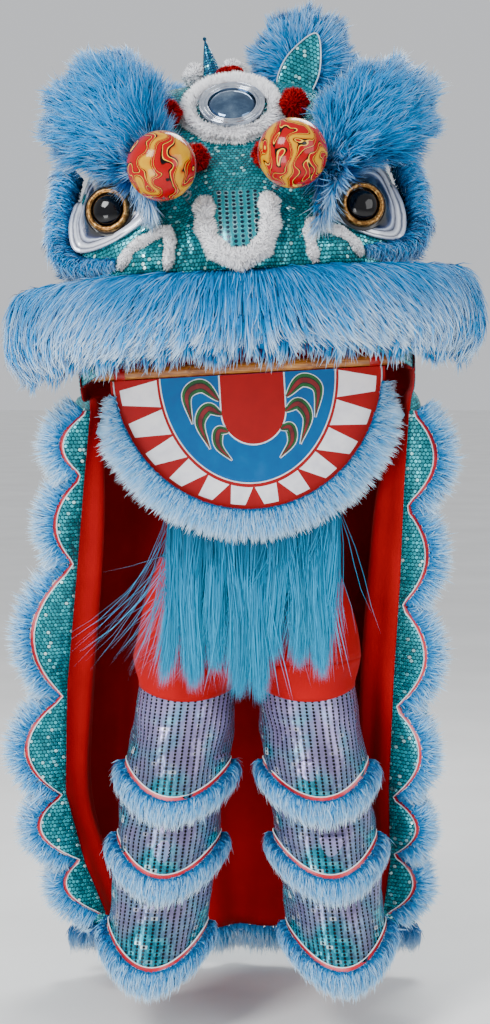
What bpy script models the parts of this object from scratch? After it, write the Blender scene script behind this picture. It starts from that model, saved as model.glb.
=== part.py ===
"""Lion dance costume: fur-trimmed head with hinged jaw, lined cape and tiered trousers.

Metres, +Z up. The costume faces -Y; "left" is the side at -X, on the left as seen from the front.
The origin is the middle of the bamboo bar that the head is held up by.
"""

import math

import bmesh
import bpy
from mathutils import Matrix, Vector

# The head is held tilted: its right side is the higher one.
HEAD_ROLL = math.radians(-3.3)

# Gap between pieces that touch.
GAP = 0.0003

# Thickness of the walls.
SHELL_WALL = 0.003
CLOTH_WALL = 0.0015
LINING_WALL = 0.001
YOKE_WALL = 0.002

# Head shell: level sections from the mouth rim to the crown.
SHELL_COLUMNS = ("z", "half_width", "front", "rear", "middle")
SHELL_ROWS = [
    (0.045, 0.340, -0.285, 0.285, 0.000),
    (0.140, 0.345, -0.290, 0.290, 0.000),
    (0.230, 0.341, -0.280, 0.290, 0.000),
    (0.310, 0.330, -0.252, 0.285, 0.000),
    (0.390, 0.305, -0.207, 0.270, 0.010),
    (0.460, 0.270, -0.150, 0.250, 0.020),
    (0.525, 0.220, -0.080, 0.215, 0.040),
    (0.570, 0.150, -0.022, 0.175, 0.065),
]
SHELL_CROWN = (0.0, 0.080, 0.592)
SHELL_AROUND = 24
SHELL_SQUARENESS = 3.4
RIM_FRONT_Z = 0.045
RIM_SIDE_Z = -0.024
RIM_REAR_Z = 0.020

# Bamboo bar and the tape loops that the jaw turns on.
BAR_RADIUS = 0.0120
BAR_SIDES = 12
BAR_NODE_SWELL = 0.0012
BAR_NODES = (-0.12, 0.13)
TAPE_WIDTH = 0.022
TAPE_WALL = 0.0010
TAPE_X = 0.265

# Jaw board, a half ellipse that hangs from the bar.
JAW_HALF_WIDTH = 0.286
JAW_DROP = 0.292
JAW_TOP_Z = -0.0141
JAW_EDGE_POINTS = 26
JAW_THICKNESS = 0.005
JAW_FUR_LENGTH = 0.066
JAW_FUR_DEPTH = 0.036

# Eyes.
EYE_RING_RADIUS = 0.0385
EYE_RING_WIRE = 0.0055
EYE_DOME_RADIUS = 0.0325
EYE_PLACES = {"left": (-0.252, 0.322), "right": (0.241, 0.303)}
EYE_STAND = 0.034
EYE_SIDES = 14
EYE_TILT = math.radians(10.0)
EYE_TURN_OUT = math.radians(14.0)

# Flame balls on coil springs.
BALL_RADIUS = 0.066
BALL_PLACES = {"left": (-0.139, -0.352, 0.391), "right": (0.109, -0.352, 0.401)}
# Foot of each spring on the nose: x and z.
SPRING_FOOT = {"left": (-0.088, 0.330), "right": (0.070, 0.338)}
SPRING_STEPS = 5
SPRING_LEG = 0.016
SPRING_SINK = 0.012
SPRING_RADIUS = 0.0075
SPRING_WIRE = 0.0014
SPRING_TURNS = 3.5

# Mirror on the forehead, tilted back.
MIRROR_SEAT = (0.0, -0.107, 0.528)
MIRROR_TILT = math.radians(45.0)
MIRROR_RIM_RADIUS = 0.066
MIRROR_GLASS_RADIUS = 0.048
MIRROR_FUR_INNER = 0.067
MIRROR_FUR_STATIONS = 18
MIRROR_SIDES = 14

# Trousers.
LEG_TOP_Z = -0.690
LEG_FOOT_Z = -1.231
LEG_TOP_X = 0.129
LEG_FOOT_X = 0.197
LEG_TOP_Y = 0.162
LEG_FOOT_Y = 0.045
LEG_SIDES = 10
TIER_COLUMNS = ("top_z", "hem_z", "dip", "top_radius", "hem_radius")
TIER_ROWS = [
    (-0.687, -0.889, 0.030, 0.1048, 0.1120),
    (-0.830, -1.045, 0.033, 0.1077, 0.1085),
    (-0.985, -1.231, 0.036, 0.1062, 0.1035),
]
LEG_FUR_LENGTH = 0.058
LEG_FUR_DEPTH = 0.026
LEG_FUR_STAND = 0.0008

# Cape: level rows below the head; x of the two front edges, and the drape behind them.
CAPE_COLUMNS = ("z", "left_x", "right_x", "edge_y", "fold", "side_x", "side_y", "back_y")
CAPE_ROWS = [
    (-0.080, -0.325, 0.338, -0.020, 0.012, 0.372, 0.170, 0.345),
    (-0.250, -0.345, 0.332, 0.030, 0.045, 0.388, 0.230, 0.400),
    (-0.460, -0.368, 0.330, 0.100, 0.058, 0.400, 0.300, 0.440),
    (-0.700, -0.396, 0.323, 0.180, 0.062, 0.405, 0.350, 0.465),
    (-0.940, -0.403, 0.316, 0.200, 0.056, 0.405, 0.360, 0.475),
    (-1.100, -0.362, 0.320, 0.205, 0.050, 0.395, 0.360, 0.475),
]
CAPE_FOOT = (-0.315, 0.305, 0.210, 0.040, 0.380, 0.360, 0.475)
CAPE_FOOT_EDGE_Z = -1.220
CAPE_FOOT_BACK_Z = -1.325
CAPE_HALF_COLUMNS = 7
# The top of the cape laps the outside of the head: its levels there, and how far it stands off.
CAPE_TOP_LEVELS = (0.095, -0.040)
CAPE_TOP_STAND = 0.0025
CAPE_DRAPE = 0.012
CAPE_MIDDLE_Y = 0.150
HEM_FUR_LENGTH = 0.046
HEM_FUR_DEPTH = 0.034
HEM_FUR_DROP = 0.0028


def clear_scene():
    for thing in list(bpy.data.objects):
        bpy.data.objects.remove(thing, do_unlink=True)


def new_collection(name):
    group = bpy.data.collections.new(name)
    bpy.context.scene.collection.children.link(group)
    return group


def material(name, colour, roughness, metallic=0.0):
    """A plain Principled material in one colour."""
    made = bpy.data.materials.get(name)
    if made:
        return made
    made = bpy.data.materials.new(name)
    made.use_nodes = True
    shader = made.node_tree.nodes["Principled BSDF"]
    shader.inputs["Base Color"].default_value = (*colour, 1.0)
    shader.inputs["Roughness"].default_value = roughness
    shader.inputs["Metallic"].default_value = metallic
    made.diffuse_color = (*colour, 1.0)
    return made


FINISHES = {
    "blue_fur": ((0.0, 0.39, 0.86), 0.9, 0.0),
    "white_fur": ((0.93, 0.93, 0.95), 0.9, 0.0),
    "pale_fur": ((0.45, 0.72, 0.95), 0.9, 0.0),
    "red_fur": ((0.75, 0.0, 0.01), 0.9, 0.0),
    "teal_sequins": ((0.03, 0.42, 0.47), 0.3, 0.3),
    "lilac_sequins": ((0.45, 0.42, 0.62), 0.3, 0.4),
    "red_cloth": ((0.80, 0.0, 0.0), 0.7, 0.0),
    "painted_board": ((0.75, 0.0, 0.02), 0.4, 0.0),
    "painted_eye": ((0.60, 0.63, 0.70), 0.3, 0.4),
    "black_gloss": ((0.01, 0.01, 0.012), 0.05, 0.0),
    "gold": ((0.60, 0.42, 0.16), 0.3, 1.0),
    "chrome": ((0.80, 0.82, 0.86), 0.08, 1.0),
    "blue_glass": ((0.20, 0.30, 0.45), 0.05, 0.3),
    "ball_gloss": ((0.80, 0.10, 0.02), 0.1, 0.0),
    "spring_steel": ((0.55, 0.55, 0.58), 0.3, 1.0),
    "bamboo": ((0.45, 0.22, 0.06), 0.5, 0.0),
    "red_tape": ((0.70, 0.02, 0.02), 0.4, 0.0),
}


def finish(thing, key):
    colour, roughness, metallic = FINISHES[key]
    thing.data.materials.append(material(key, colour, roughness, metallic))


def add_object(name, verts, faces, key, parent=None):
    """A mesh object in the costume's collection, in triangles, with its faces turned outward."""
    mesh = bpy.data.meshes.new(name)
    work = bmesh.new()
    corners = [work.verts.new(v) for v in verts]
    for face in faces:
        work.faces.new([corners[i] for i in face])
    bmesh.ops.triangulate(work, faces=work.faces, quad_method="FIXED")
    bmesh.ops.recalc_face_normals(work, faces=work.faces)
    work.to_mesh(mesh)
    work.free()
    thing = bpy.data.objects.new(name, mesh)
    COSTUME.objects.link(thing)
    thing.parent = parent
    finish(thing, key)
    shade(thing)
    return thing


def shade(thing, angle=40.0):
    thing.data.shade_smooth()
    thing.data.set_sharp_from_angle(angle=math.radians(angle))


def adopt(thing, name, key, parent=None):
    """Names an object that an operator made, and files it with the costume."""
    thing.name = name
    thing.data.name = name
    for group in list(thing.users_collection):
        group.objects.unlink(thing)
    COSTUME.objects.link(thing)
    thing.parent = parent
    finish(thing, key)
    shade(thing)
    return thing


def empty(name, location=(0, 0, 0), turn=(0, 0, 0), parent=None):
    thing = bpy.data.objects.new(name, None)
    COSTUME.objects.link(thing)
    thing.location = location
    thing.rotation_euler = turn
    thing.parent = parent
    return thing


def solidify(thing, thickness, outward=False):
    wall = thing.modifiers.new("wall", "SOLIDIFY")
    wall.thickness = thickness
    wall.offset = 1.0 if outward else -1.0
    wall.use_even_offset = True
    return wall


def between(rows, column, z):
    """Value of a column at height z, straight between rows; rows run up or down."""
    rows = sorted(rows)
    if z <= rows[0][0]:
        return rows[0][column]
    for low, high in zip(rows, rows[1:]):
        if z <= high[0]:
            share = (z - low[0]) / (high[0] - low[0])
            return low[column] + share * (high[column] - low[column])
    return rows[-1][column]


def mixed(a, b, share):
    return a + (b - a) * share


def smooth_path(points, count, closed=False):
    """Evenly counted points on a Catmull-Rom curve through the given points."""
    knots = [Vector(p) for p in points]
    last = len(knots)
    spans = last if closed else last - 1
    made = []
    steps = count if closed else count - 1
    for i in range(count):
        at = spans * i / steps
        k = min(int(at), spans - 1)
        t = at - k
        if closed:
            p0, p1, p2, p3 = (knots[(k + d) % last] for d in (-1, 0, 1, 2))
        else:
            p1 = knots[k]
            p2 = knots[k + 1]
            p0 = knots[k - 1] if k > 0 else p1 * 2 - p2
            p3 = knots[k + 2] if k + 2 < last else p2 * 2 - p1
        made.append(
            0.5 * (2 * p1 + (p2 - p0) * t + (2 * p0 - 5 * p1 + 4 * p2 - p3) * t * t
                   + (3 * p1 - p0 - 3 * p2 + p3) * t * t * t)
        )
    return made


def tangent(points, i, closed=False):
    last = len(points)
    if closed:
        return (points[(i + 1) % last] - points[i - 1]).normalized()
    return (points[min(i + 1, last - 1)] - points[max(i - 1, 0)]).normalized()


def loft(name, sections, key, parent=None, closed=False):
    """Skins a row of like rings; an open row is capped by a fan at each end."""
    ring = len(sections[0])
    verts = [p for section in sections for p in section]
    faces = []
    spans = len(sections) if closed else len(sections) - 1
    for i in range(spans):
        a = i * ring
        b = (i + 1) % len(sections) * ring
        for j in range(ring):
            k = (j + 1) % ring
            faces.append((a + j, a + k, b + k, b + j))
    if not closed:
        for base, section in ((0, sections[0]), ((len(sections) - 1) * ring, sections[-1])):
            centre = sum(section, Vector()) / ring
            verts.append(centre)
            hub = len(verts) - 1
            faces += [(base + j, base + (j + 1) % ring, hub) for j in range(ring)]
    return add_object(name, verts, faces, key, parent)


# Cross-section of a fur band: share of the length along the tips, share of the depth.
BAND_SECTION = [(-0.12, 0.0), (0.0, 0.75), (0.42, 1.0), (1.0, 0.30), (0.5, 0.0)]
# Cross-section of a fringe that carries on from a cloth edge, the same on both sides.
FRINGE_SECTION = [(0.0, -0.42), (0.0, 0.42), (0.55, 0.44), (1.0, 0.0)]
# Cross-section of fur that lies on a board or a leg, flat behind.
FLAT_SECTION = [(-0.12, 0.0), (0.0, 0.80), (0.48, 1.0), (1.0, 0.30)]
# Cross-section of a thick roll of fur whose tips hang down.
ROLL_SECTION = [(0.0, 0.0), (-0.05, 0.45), (0.22, 0.88), (0.55, 1.0), (0.80, 0.80), (1.0, 0.38), (0.72, 0.0)]


def fur_band(name, stations, key, parent=None, closed=False, section=BAND_SECTION, short=0.74):
    """Fur in locks along a path. A station is (point, tip direction, face direction, length, depth)."""
    tip = max(range(len(section)), key=lambda i: section[i][0])
    sections = []
    for i, (point, lie, face, length, depth) in enumerate(stations):
        lock = 1.0 if i % 2 == 0 else short
        ridge = 1.0 if i % 2 == 0 else 0.5 + short / 2
        ring = []
        for j, (along, out) in enumerate(section):
            reach = along * (lock if j == tip else 1.0)
            ring.append(point + lie * (length * reach) + face * (depth * out * ridge))
        sections.append(ring)
    return loft(name, sections, key, parent, closed)


# Rings of a fur mass: share of the outline's reach, and share of the rise towards the crest.
PUFF_RINGS = [(1.0, 0.0), (0.72, 0.62), (0.36, 0.93)]
PUFF_BACK_REACH = 0.66


def fur_puff(name, outline, crest, key, parent=None, locks=22, short=0.86, back=(0, 0.08, 0), rise=0.62):
    """A full fur mass: an outline of lock tips round a crest, and a smaller back."""
    edge = smooth_path(outline, locks, closed=True)
    crest = Vector(crest)
    middle = sum(edge, Vector()) / locks
    behind = middle + Vector(back)
    rings = [[behind + (point - middle) * PUFF_BACK_REACH for point in edge]]
    for reach, lift in (PUFF_RINGS[0], (PUFF_RINGS[1][0], rise), PUFF_RINGS[2]):
        heart = middle.lerp(crest, lift)
        rings.append([heart + (p - middle) * (reach * (short if i % 2 else 1.0)) for i, p in enumerate(edge)])
    verts = [p for ring in rings for p in ring]
    faces = []
    for i in range(len(rings) - 1):
        for j in range(locks):
            k = (j + 1) % locks
            faces.append((i * locks + j, i * locks + k, (i + 1) * locks + k, (i + 1) * locks + j))
    verts += [behind, crest]
    top = (len(rings) - 1) * locks
    faces += [(j, (j + 1) % locks, len(verts) - 2) for j in range(locks)]
    faces += [(top + j, top + (j + 1) % locks, len(verts) - 1) for j in range(locks)]
    return add_object(name, verts, faces, key, parent)


def meshed(guide):
    """The closed mesh of a curve object, in the scene's axes; the curve itself goes."""
    COSTUME.objects.link(guide)
    bpy.context.view_layer.update()
    graph = bpy.context.evaluated_depsgraph_get()
    mesh = bpy.data.meshes.new_from_object(guide.evaluated_get(graph))
    mesh.transform(guide.matrix_world)
    mesh.materials.clear()
    work = bmesh.new()
    work.from_mesh(mesh)
    bmesh.ops.remove_doubles(work, verts=work.verts, dist=0.00001)
    bmesh.ops.triangulate(work, faces=work.faces)
    bmesh.ops.recalc_face_normals(work, faces=work.faces)
    work.to_mesh(mesh)
    work.free()
    bpy.data.objects.remove(guide)
    return mesh


def swollen(thing, margin=GAP):
    """A hidden copy of a piece before it was cut, a little larger all round, to cut its neighbours with."""
    name = thing.name + "_cutter"
    made = bpy.data.objects.get(name)
    if made:
        return made
    made = thing.copy()
    made.data = thing.data.copy()
    made.name = name
    COSTUME_CUTTERS.objects.link(made)
    made.hide_render = True
    made.display_type = "WIRE"
    for cut in [m for m in made.modifiers if m.type == "BOOLEAN"]:
        made.modifiers.remove(cut)
    grow = made.modifiers.new("grow", "DISPLACE")
    grow.strength = margin
    grow.mid_level = 0.0
    return made


def cut_by(thing, *others, solver="EXACT"):
    """Takes the room of each neighbour, and the gap to it, out of a piece."""
    for other in others:
        cut = thing.modifiers.new("cut_" + other.name, "BOOLEAN")
        cut.operation = "DIFFERENCE"
        cut.solver = solver
        cut.object = other


def shell_section(z, column):
    return between(SHELL_ROWS, SHELL_COLUMNS.index(column), z)


def shell_point(turn, z, grow=0.0):
    """Point of the shell's outer face; turn runs from the right side over the back."""
    width = shell_section(z, "half_width") + grow
    middle = shell_section(z, "middle")
    rear = shell_section(z, "rear") + grow
    front = shell_section(z, "front") - grow
    power = 2.0 / SHELL_SQUARENESS
    x = width * math.copysign(abs(math.cos(turn)) ** power, math.cos(turn))
    deep = rear - middle if math.sin(turn) > 0 else middle - front
    y = middle + deep * math.copysign(abs(math.sin(turn)) ** power, math.sin(turn))
    return Vector((x, y, z))


def shell_turn(i):
    return 2 * math.pi * i / SHELL_AROUND


def shell_front(x, z):
    """Depth of the shell's front face, facet by facet, at a place seen from the front."""
    corners = [shell_point(-shell_turn(i), z) for i in range(SHELL_AROUND // 4 + 1)]
    return between([(p.x, p.y) for p in corners], 1, abs(x))


def rim_height(turn):
    """The rim is high over the mouth, low at the bar's ends and level behind."""
    if math.sin(turn) < 0:
        share = abs(math.sin(turn)) ** 2
        return mixed(RIM_SIDE_Z, RIM_FRONT_Z, share)
    return mixed(RIM_SIDE_Z, RIM_REAR_Z, math.sin(turn) ** 2)


def shell_rings(grow=0.0):
    rings = [[shell_point(shell_turn(i), rim_height(shell_turn(i)), grow) for i in range(SHELL_AROUND)]]
    for row in SHELL_ROWS[1:]:
        rings.append([shell_point(shell_turn(i), row[0], grow) for i in range(SHELL_AROUND)])
    return rings


def shell_faces(rings):
    faces = []
    for i in range(len(rings) - 1):
        for j in range(SHELL_AROUND):
            k = (j + 1) % SHELL_AROUND
            a = i * SHELL_AROUND
            b = a + SHELL_AROUND
            faces.append((a + j, a + k, b + k, b + j))
    top = (len(rings) - 1) * SHELL_AROUND
    hub = len(rings) * SHELL_AROUND
    faces += [(top + j, top + (j + 1) % SHELL_AROUND, hub) for j in range(SHELL_AROUND)]
    return faces


def head_shell(head):
    rings = shell_rings()
    verts = [p for ring in rings for p in ring] + [Vector(SHELL_CROWN)]
    faces = shell_faces(rings)
    shell = add_object("head_shell", verts, faces, "teal_sequins", head)
    solidify(shell, SHELL_WALL)
    return shell


def shell_block(head):
    """The shell as a solid block with the gap added, to seat the trimmings on."""
    rings = shell_rings(GAP * 2)
    verts = [p for ring in rings for p in ring]
    crown = Vector(SHELL_CROWN) + Vector((0, 0, GAP * 2))
    verts.append(crown)
    faces = shell_faces(rings)
    faces.append(tuple(reversed(range(SHELL_AROUND))))
    block = add_object("shell_block", verts, faces, "teal_sequins", head)
    COSTUME.objects.unlink(block)
    COSTUME_CUTTERS.objects.link(block)
    block.hide_render = True
    block.display_type = "WIRE"
    return block


# Nose: height of the raised face over the shell, by level.
NOSE_COLUMNS = ("z", "ridge", "ridge_width", "half_width")
NOSE_ROWS = [
    (0.191, 0.049, 0.065, 0.243),
    (0.225, 0.055, 0.068, 0.234),
    (0.262, 0.056, 0.072, 0.195),
    (0.300, 0.050, 0.078, 0.140),
    (0.345, 0.040, 0.082, 0.125),
    (0.390, 0.026, 0.082, 0.110),
    (0.430, 0.012, 0.080, 0.090),
]
NOSTRIL_X = 0.186
NOSTRIL_Z = 0.222
NOSTRIL_HIGH = 0.050
NOSTRIL_WIDE = 0.034
NOSTRIL_RISE = 0.030
NOSE_ACROSS = 14
NOSE_SINK = 0.030


def nose_rise(x, z):
    ridge = between(NOSE_ROWS, NOSE_COLUMNS.index("ridge"), z)
    wide = between(NOSE_ROWS, NOSE_COLUMNS.index("ridge_width"), z)
    wing = math.exp(-((abs(x) - NOSTRIL_X) / NOSTRIL_WIDE) ** 2 - ((z - NOSTRIL_Z) / NOSTRIL_HIGH) ** 2)
    return ridge * math.exp(-(x / wide) ** 4) + NOSTRIL_RISE * wing + 0.003


def nose_front(x, z):
    return shell_front(x, z) - nose_rise(x, z)


def nose(head, block):
    """Raised nose with a nostril wing each side, seated on the shell."""
    fronts = []
    backs = []
    for z, ridge, ridge_width, half_width in NOSE_ROWS:
        for i in range(NOSE_ACROSS + 1):
            share = 2 * i / NOSE_ACROSS - 1
            x = half_width * math.copysign(abs(share) ** 1.15, share)
            fronts.append(Vector((x, nose_front(x, z), z)))
            backs.append(Vector((x, shell_front(x, z) + NOSE_SINK, z)))
    wide = NOSE_ACROSS + 1
    rows = len(NOSE_ROWS)
    faces = []
    for r in range(rows - 1):
        for c in range(NOSE_ACROSS):
            a = r * wide + c
            faces.append((a, a + 1, a + wide + 1, a + wide))
    off = rows * wide
    faces += [tuple(off + v for v in reversed(face)) for face in faces]
    border = [c for c in range(wide)]
    border += [r * wide + NOSE_ACROSS for r in range(1, rows)]
    border += [(rows - 1) * wide + c for c in range(NOSE_ACROSS - 1, -1, -1)]
    border += [r * wide for r in range(rows - 2, 0, -1)]
    for a, b in zip(border, border[1:] + border[:1]):
        faces.append((a, b, off + b, off + a))
    piece = add_object("nose", fronts + backs, faces, "teal_sequins", head)
    cut_by(piece, block)
    return piece


# Spine of the white fur on the nose, left arm top to right arm top: x, z.
NOSE_FUR_SPINE = [
    (-0.060, 0.336), (-0.064, 0.300), (-0.060, 0.262), (-0.040, 0.226),
    (0.0, 0.208), (0.038, 0.226), (0.056, 0.262), (0.060, 0.300), (0.054, 0.336),
]
NOSE_FUR_RADIUS = 0.024
NOSE_FUR_STATIONS = 15
TUBE_SIDES = 5


def fur_tube(name, spine, radius, key, parent, front, end_share=0.55, ripple=0.13):
    """A round roll of short fur on the head's face; every other ring stands out in locks."""
    sections = []
    last = len(spine) - 1
    for i, point in enumerate(spine):
        along = tangent(spine, i)
        out = Vector((0, -1, 0))
        side = along.cross(out).normalized()
        out = side.cross(along).normalized()
        size = radius * (1 + (ripple if i % 2 else -ripple))
        if i in (0, last):
            size = radius * end_share
        seat = Vector((point.x, front(point.x, point.z), point.z)) + out * (radius * 0.35)
        ring = []
        for j in range(TUBE_SIDES):
            turn = 2 * math.pi * j / TUBE_SIDES
            ring.append(seat + side * (math.cos(turn) * size) + out * (math.sin(turn) * size))
        sections.append(ring)
    return loft(name, sections, key, parent)


def nose_fur(head, seat):
    spine = smooth_path([(x, 0, z) for x, z in NOSE_FUR_SPINE], NOSE_FUR_STATIONS)
    piece = fur_tube("nose_fur", spine, NOSE_FUR_RADIUS, "white_fur", head, nose_front)
    cut_by(piece, swollen(seat))
    return piece


# Spine of the fur arch over one nostril wing, inner foot to outer foot: distance from the middle, z.
NOSTRIL_SPINE = [(0.144, 0.196), (0.137, 0.236), (0.138, 0.276), (0.172, 0.262), (0.212, 0.240), (0.236, 0.204)]
NOSTRIL_FUR_RADIUS = 0.0135


def nostril_fur(side, sign, head, seats):
    spine = smooth_path([(sign * x, 0, z) for x, z in NOSTRIL_SPINE], 11)
    piece = fur_tube(f"nostril_fur_{side}", spine, NOSTRIL_FUR_RADIUS, "white_fur", head, nose_front)
    cut_by(piece, *seats, solver="MANIFOLD")
    return piece


# Upper lip: plan of the roll from its middle to its end.
LIP_COLUMNS = ("x", "y", "top_z", "height", "depth")
LIP_ROWS = [
    (0.000, -0.283, 0.178, 0.166, 0.100),
    (0.120, -0.280, 0.180, 0.164, 0.098),
    (0.235, -0.262, 0.178, 0.168, 0.092),
    (0.330, -0.215, 0.172, 0.176, 0.088),
    (0.395, -0.150, 0.166, 0.184, 0.082),
    (0.425, -0.090, 0.148, 0.158, 0.060),
    (0.432, -0.045, 0.120, 0.100, 0.032),
]
LIP_STATIONS = 27


def upper_lip_fur(head, block):
    """Long roll of fur along the upper lip, combed down, with a round lobe at each end."""
    rows = [(-x, y, top, high, deep) for x, y, top, high, deep in reversed(LIP_ROWS[1:])] + LIP_ROWS
    places = smooth_path([(x, y, 0) for x, y, top, high, deep in rows], LIP_STATIONS)
    sizes = smooth_path([(top, high, deep) for x, y, top, high, deep in rows], LIP_STATIONS)
    stations = []
    for i, (place, size) in enumerate(zip(places, sizes)):
        along = tangent(places, i)
        face = Vector((0, 0, 1)).cross(along).normalized() * -1
        if face.dot(Vector((place.x, place.y, 0))) < 0:
            face = -face
        top, high, deep = size
        point = Vector((place.x, place.y, top))
        stations.append((point, Vector((0, 0, -1)), face, high, deep))
    piece = fur_band("upper_lip_fur", stations, "blue_fur", head, section=ROLL_SECTION, short=0.88)
    cut_by(piece, block)
    return piece


# Brow: outline of the fur mass, from its inner tail up and outward, and its crest: x, y, z.
BROW_OUTLINES = {
    "left": [
        (-0.158, -0.292, 0.296),
        (-0.122, -0.245, 0.400),
        (-0.112, -0.175, 0.524),
        (-0.152, -0.105, 0.624),
        (-0.226, -0.070, 0.670),
        (-0.306, -0.065, 0.650),
        (-0.376, -0.080, 0.583),
        (-0.396, -0.105, 0.502),
        (-0.362, -0.155, 0.430),
        (-0.296, -0.215, 0.392),
        (-0.217, -0.268, 0.362),
    ],
    "right": [
        (0.156, -0.292, 0.268),
        (0.134, -0.245, 0.350),
        (0.142, -0.175, 0.465),
        (0.195, -0.105, 0.560),
        (0.272, -0.070, 0.612),
        (0.352, -0.065, 0.618),
        (0.420, -0.080, 0.558),
        (0.420, -0.105, 0.468),
        (0.376, -0.155, 0.402),
        (0.292, -0.215, 0.376),
        (0.210, -0.268, 0.350),
    ],
}
BROW_CRESTS = {"left": (-0.228, -0.290, 0.505), "right": (0.258, -0.290, 0.462)}
BROW_LOCKS = 18


def brow_fur(side, head, seats):
    piece = fur_puff(
        f"brow_fur_{side}", BROW_OUTLINES[side], BROW_CRESTS[side], "blue_fur", head,
        locks=BROW_LOCKS, back=(0, 0.10, 0.0),
    )
    cut_by(piece, *seats, solver="MANIFOLD")
    return piece


# Eye panel: outline seen from the front, distance from the middle and z, for the left one.
EYE_OUTLINE = [
    (0.174, 0.302), (0.215, 0.273), (0.275, 0.248), (0.325, 0.248), (0.338, 0.292),
    (0.326, 0.350), (0.300, 0.402), (0.250, 0.412), (0.200, 0.372), (0.170, 0.320),
]
EYE_PANEL_SHIFT = {"left": (0.0, 0.0), "right": (-0.006, -0.010)}
EYE_PANEL_POINTS = 13
# Share of the way out from the eye, and how far that ring stands off the shell.
EYE_PANEL_RINGS = [(1.0, -0.015), (1.0, 0.013), (0.74, 0.017)]
# Past this width the plate leaves the shell and stays level.
EYE_PANEL_TURN_X = 0.312
EYE_BOSS_RADIUS = EYE_RING_RADIUS + EYE_RING_WIRE + 0.001
EYE_BACK = -0.002


def eye_frame(side, head):
    """The eye faces forward, a little outward and a little up."""
    x, z = EYE_PLACES[side]
    out = math.copysign(EYE_TURN_OUT, x)
    y = shell_front(x, z) - EYE_STAND
    return empty(f"eye_frame_{side}", (x, y, z), (math.radians(90) - EYE_TILT, 0, out), head)


def eye_panel(side, sign, head, frame, seats):
    """A moulded plate, seated on the shell, that rises to a flat boss behind the eye."""
    dx, dz = EYE_PANEL_SHIFT[side]
    edge = smooth_path([(sign * x + dx, 0, z + dz) for x, z in EYE_OUTLINE], EYE_PANEL_POINTS, closed=True)
    ex, ez = EYE_PLACES[side]
    rings = []
    for reach, stand in EYE_PANEL_RINGS:
        ring = []
        for point in edge:
            x = mixed(ex, point.x, reach)
            z = mixed(ez, point.z, reach)
            seat = shell_front(min(abs(x), EYE_PANEL_TURN_X), z)
            ring.append(Vector((x, seat - stand, z)))
        rings.append(ring)
    plane = Matrix.Translation(frame.location) @ frame.rotation_euler.to_matrix().to_4x4()
    boss = []
    for point in edge:
        turn = math.atan2(point.z - ez, point.x - ex)
        across = EYE_BOSS_RADIUS * math.cos(turn)
        boss.append(plane @ Vector((across, EYE_BOSS_RADIUS * math.sin(turn), EYE_BACK - GAP)))
    rings.append(boss)
    piece = loft(f"eye_panel_{side}", rings, "painted_eye", head)
    cut_by(piece, *seats, solver="MANIFOLD")
    return piece


def turned(name, profile, sides, key, parent, closed_profile=False):
    """A turned piece: the profile (radius, height) runs down the outer side, top to bottom."""
    mesh = bpy.data.meshes.new(name)
    verts = [(radius, 0.0, height) for radius, height in profile]
    edges = [(i, i + 1) for i in range(len(profile) - 1)]
    if closed_profile:
        edges.append((len(profile) - 1, 0))
    mesh.from_pydata(verts, edges, [])
    thing = bpy.data.objects.new(name, mesh)
    COSTUME.objects.link(thing)
    thing.parent = parent
    screw = thing.modifiers.new("turn", "SCREW")
    screw.steps = sides
    screw.render_steps = sides
    screw.use_merge_vertices = True
    screw.merge_threshold = 0.00001
    screw.use_smooth_shade = True
    finish(thing, key)
    return thing


def eye_ring(side, frame):
    inner = EYE_RING_RADIUS - EYE_RING_WIRE
    outer = EYE_RING_RADIUS + EYE_RING_WIRE
    profile = [(EYE_RING_RADIUS, 0.009), (outer, 0.004), (outer - 0.001, EYE_BACK), (inner, EYE_BACK), (inner, 0.006)]
    return turned(f"eye_ring_{side}", profile, EYE_SIDES, "gold", frame, closed_profile=True)


def eye_dome(side, frame):
    radius = EYE_DOME_RADIUS
    profile = [
        (0.0, radius * 0.62), (radius * 0.5, radius * 0.52), (radius * 0.86, radius * 0.26),
        (radius, EYE_BACK), (0.0, EYE_BACK),
    ]
    return turned(f"eye_dome_{side}", profile, EYE_SIDES, "black_gloss", frame)


# Cheek fur: path of the roots from the temple down and in below the eye, for the left one.
CHEEK_COLUMNS = ("x", "y", "z", "length", "depth")
CHEEK_ROWS = [
    (0.318, -0.085, 0.405, 0.060, 0.060),
    (0.336, -0.110, 0.330, 0.060, 0.070),
    (0.336, -0.130, 0.262, 0.060, 0.072),
    (0.308, -0.185, 0.232, 0.058, 0.066),
    (0.268, -0.222, 0.226, 0.050, 0.050),
    (0.236, -0.244, 0.224, 0.030, 0.030),
]
CHEEK_STATIONS = 13
CHEEK_SINK = 0.35


def cheek_fur(side, sign, head, seats):
    places = smooth_path([(x, y, z) for x, y, z, length, depth in CHEEK_ROWS], CHEEK_STATIONS)
    sizes = smooth_path([(length, depth, 0) for x, y, z, length, depth in CHEEK_ROWS], CHEEK_STATIONS)
    stations = []
    for i, (place, size) in enumerate(zip(places, sizes)):
        along = tangent(places, i)
        face = Vector((0.25, -1.0, 0.0)).normalized()
        lie = along.cross(face).normalized()
        if lie.dot(Vector((1.0, 0, -1.2))) < 0:
            lie = -lie
        face = along.cross(lie).normalized()
        if face.y > 0:
            face = -face
        flip = Vector((sign, 1, 1))
        point = place - face * (size[1] * CHEEK_SINK)
        stations.append((point * flip, lie * flip, face * flip, size[0], size[1]))
    piece = fur_band(f"cheek_fur_{side}", stations, "pale_fur", head, short=0.78)
    cut_by(piece, *seats, solver="MANIFOLD")
    return piece


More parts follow.
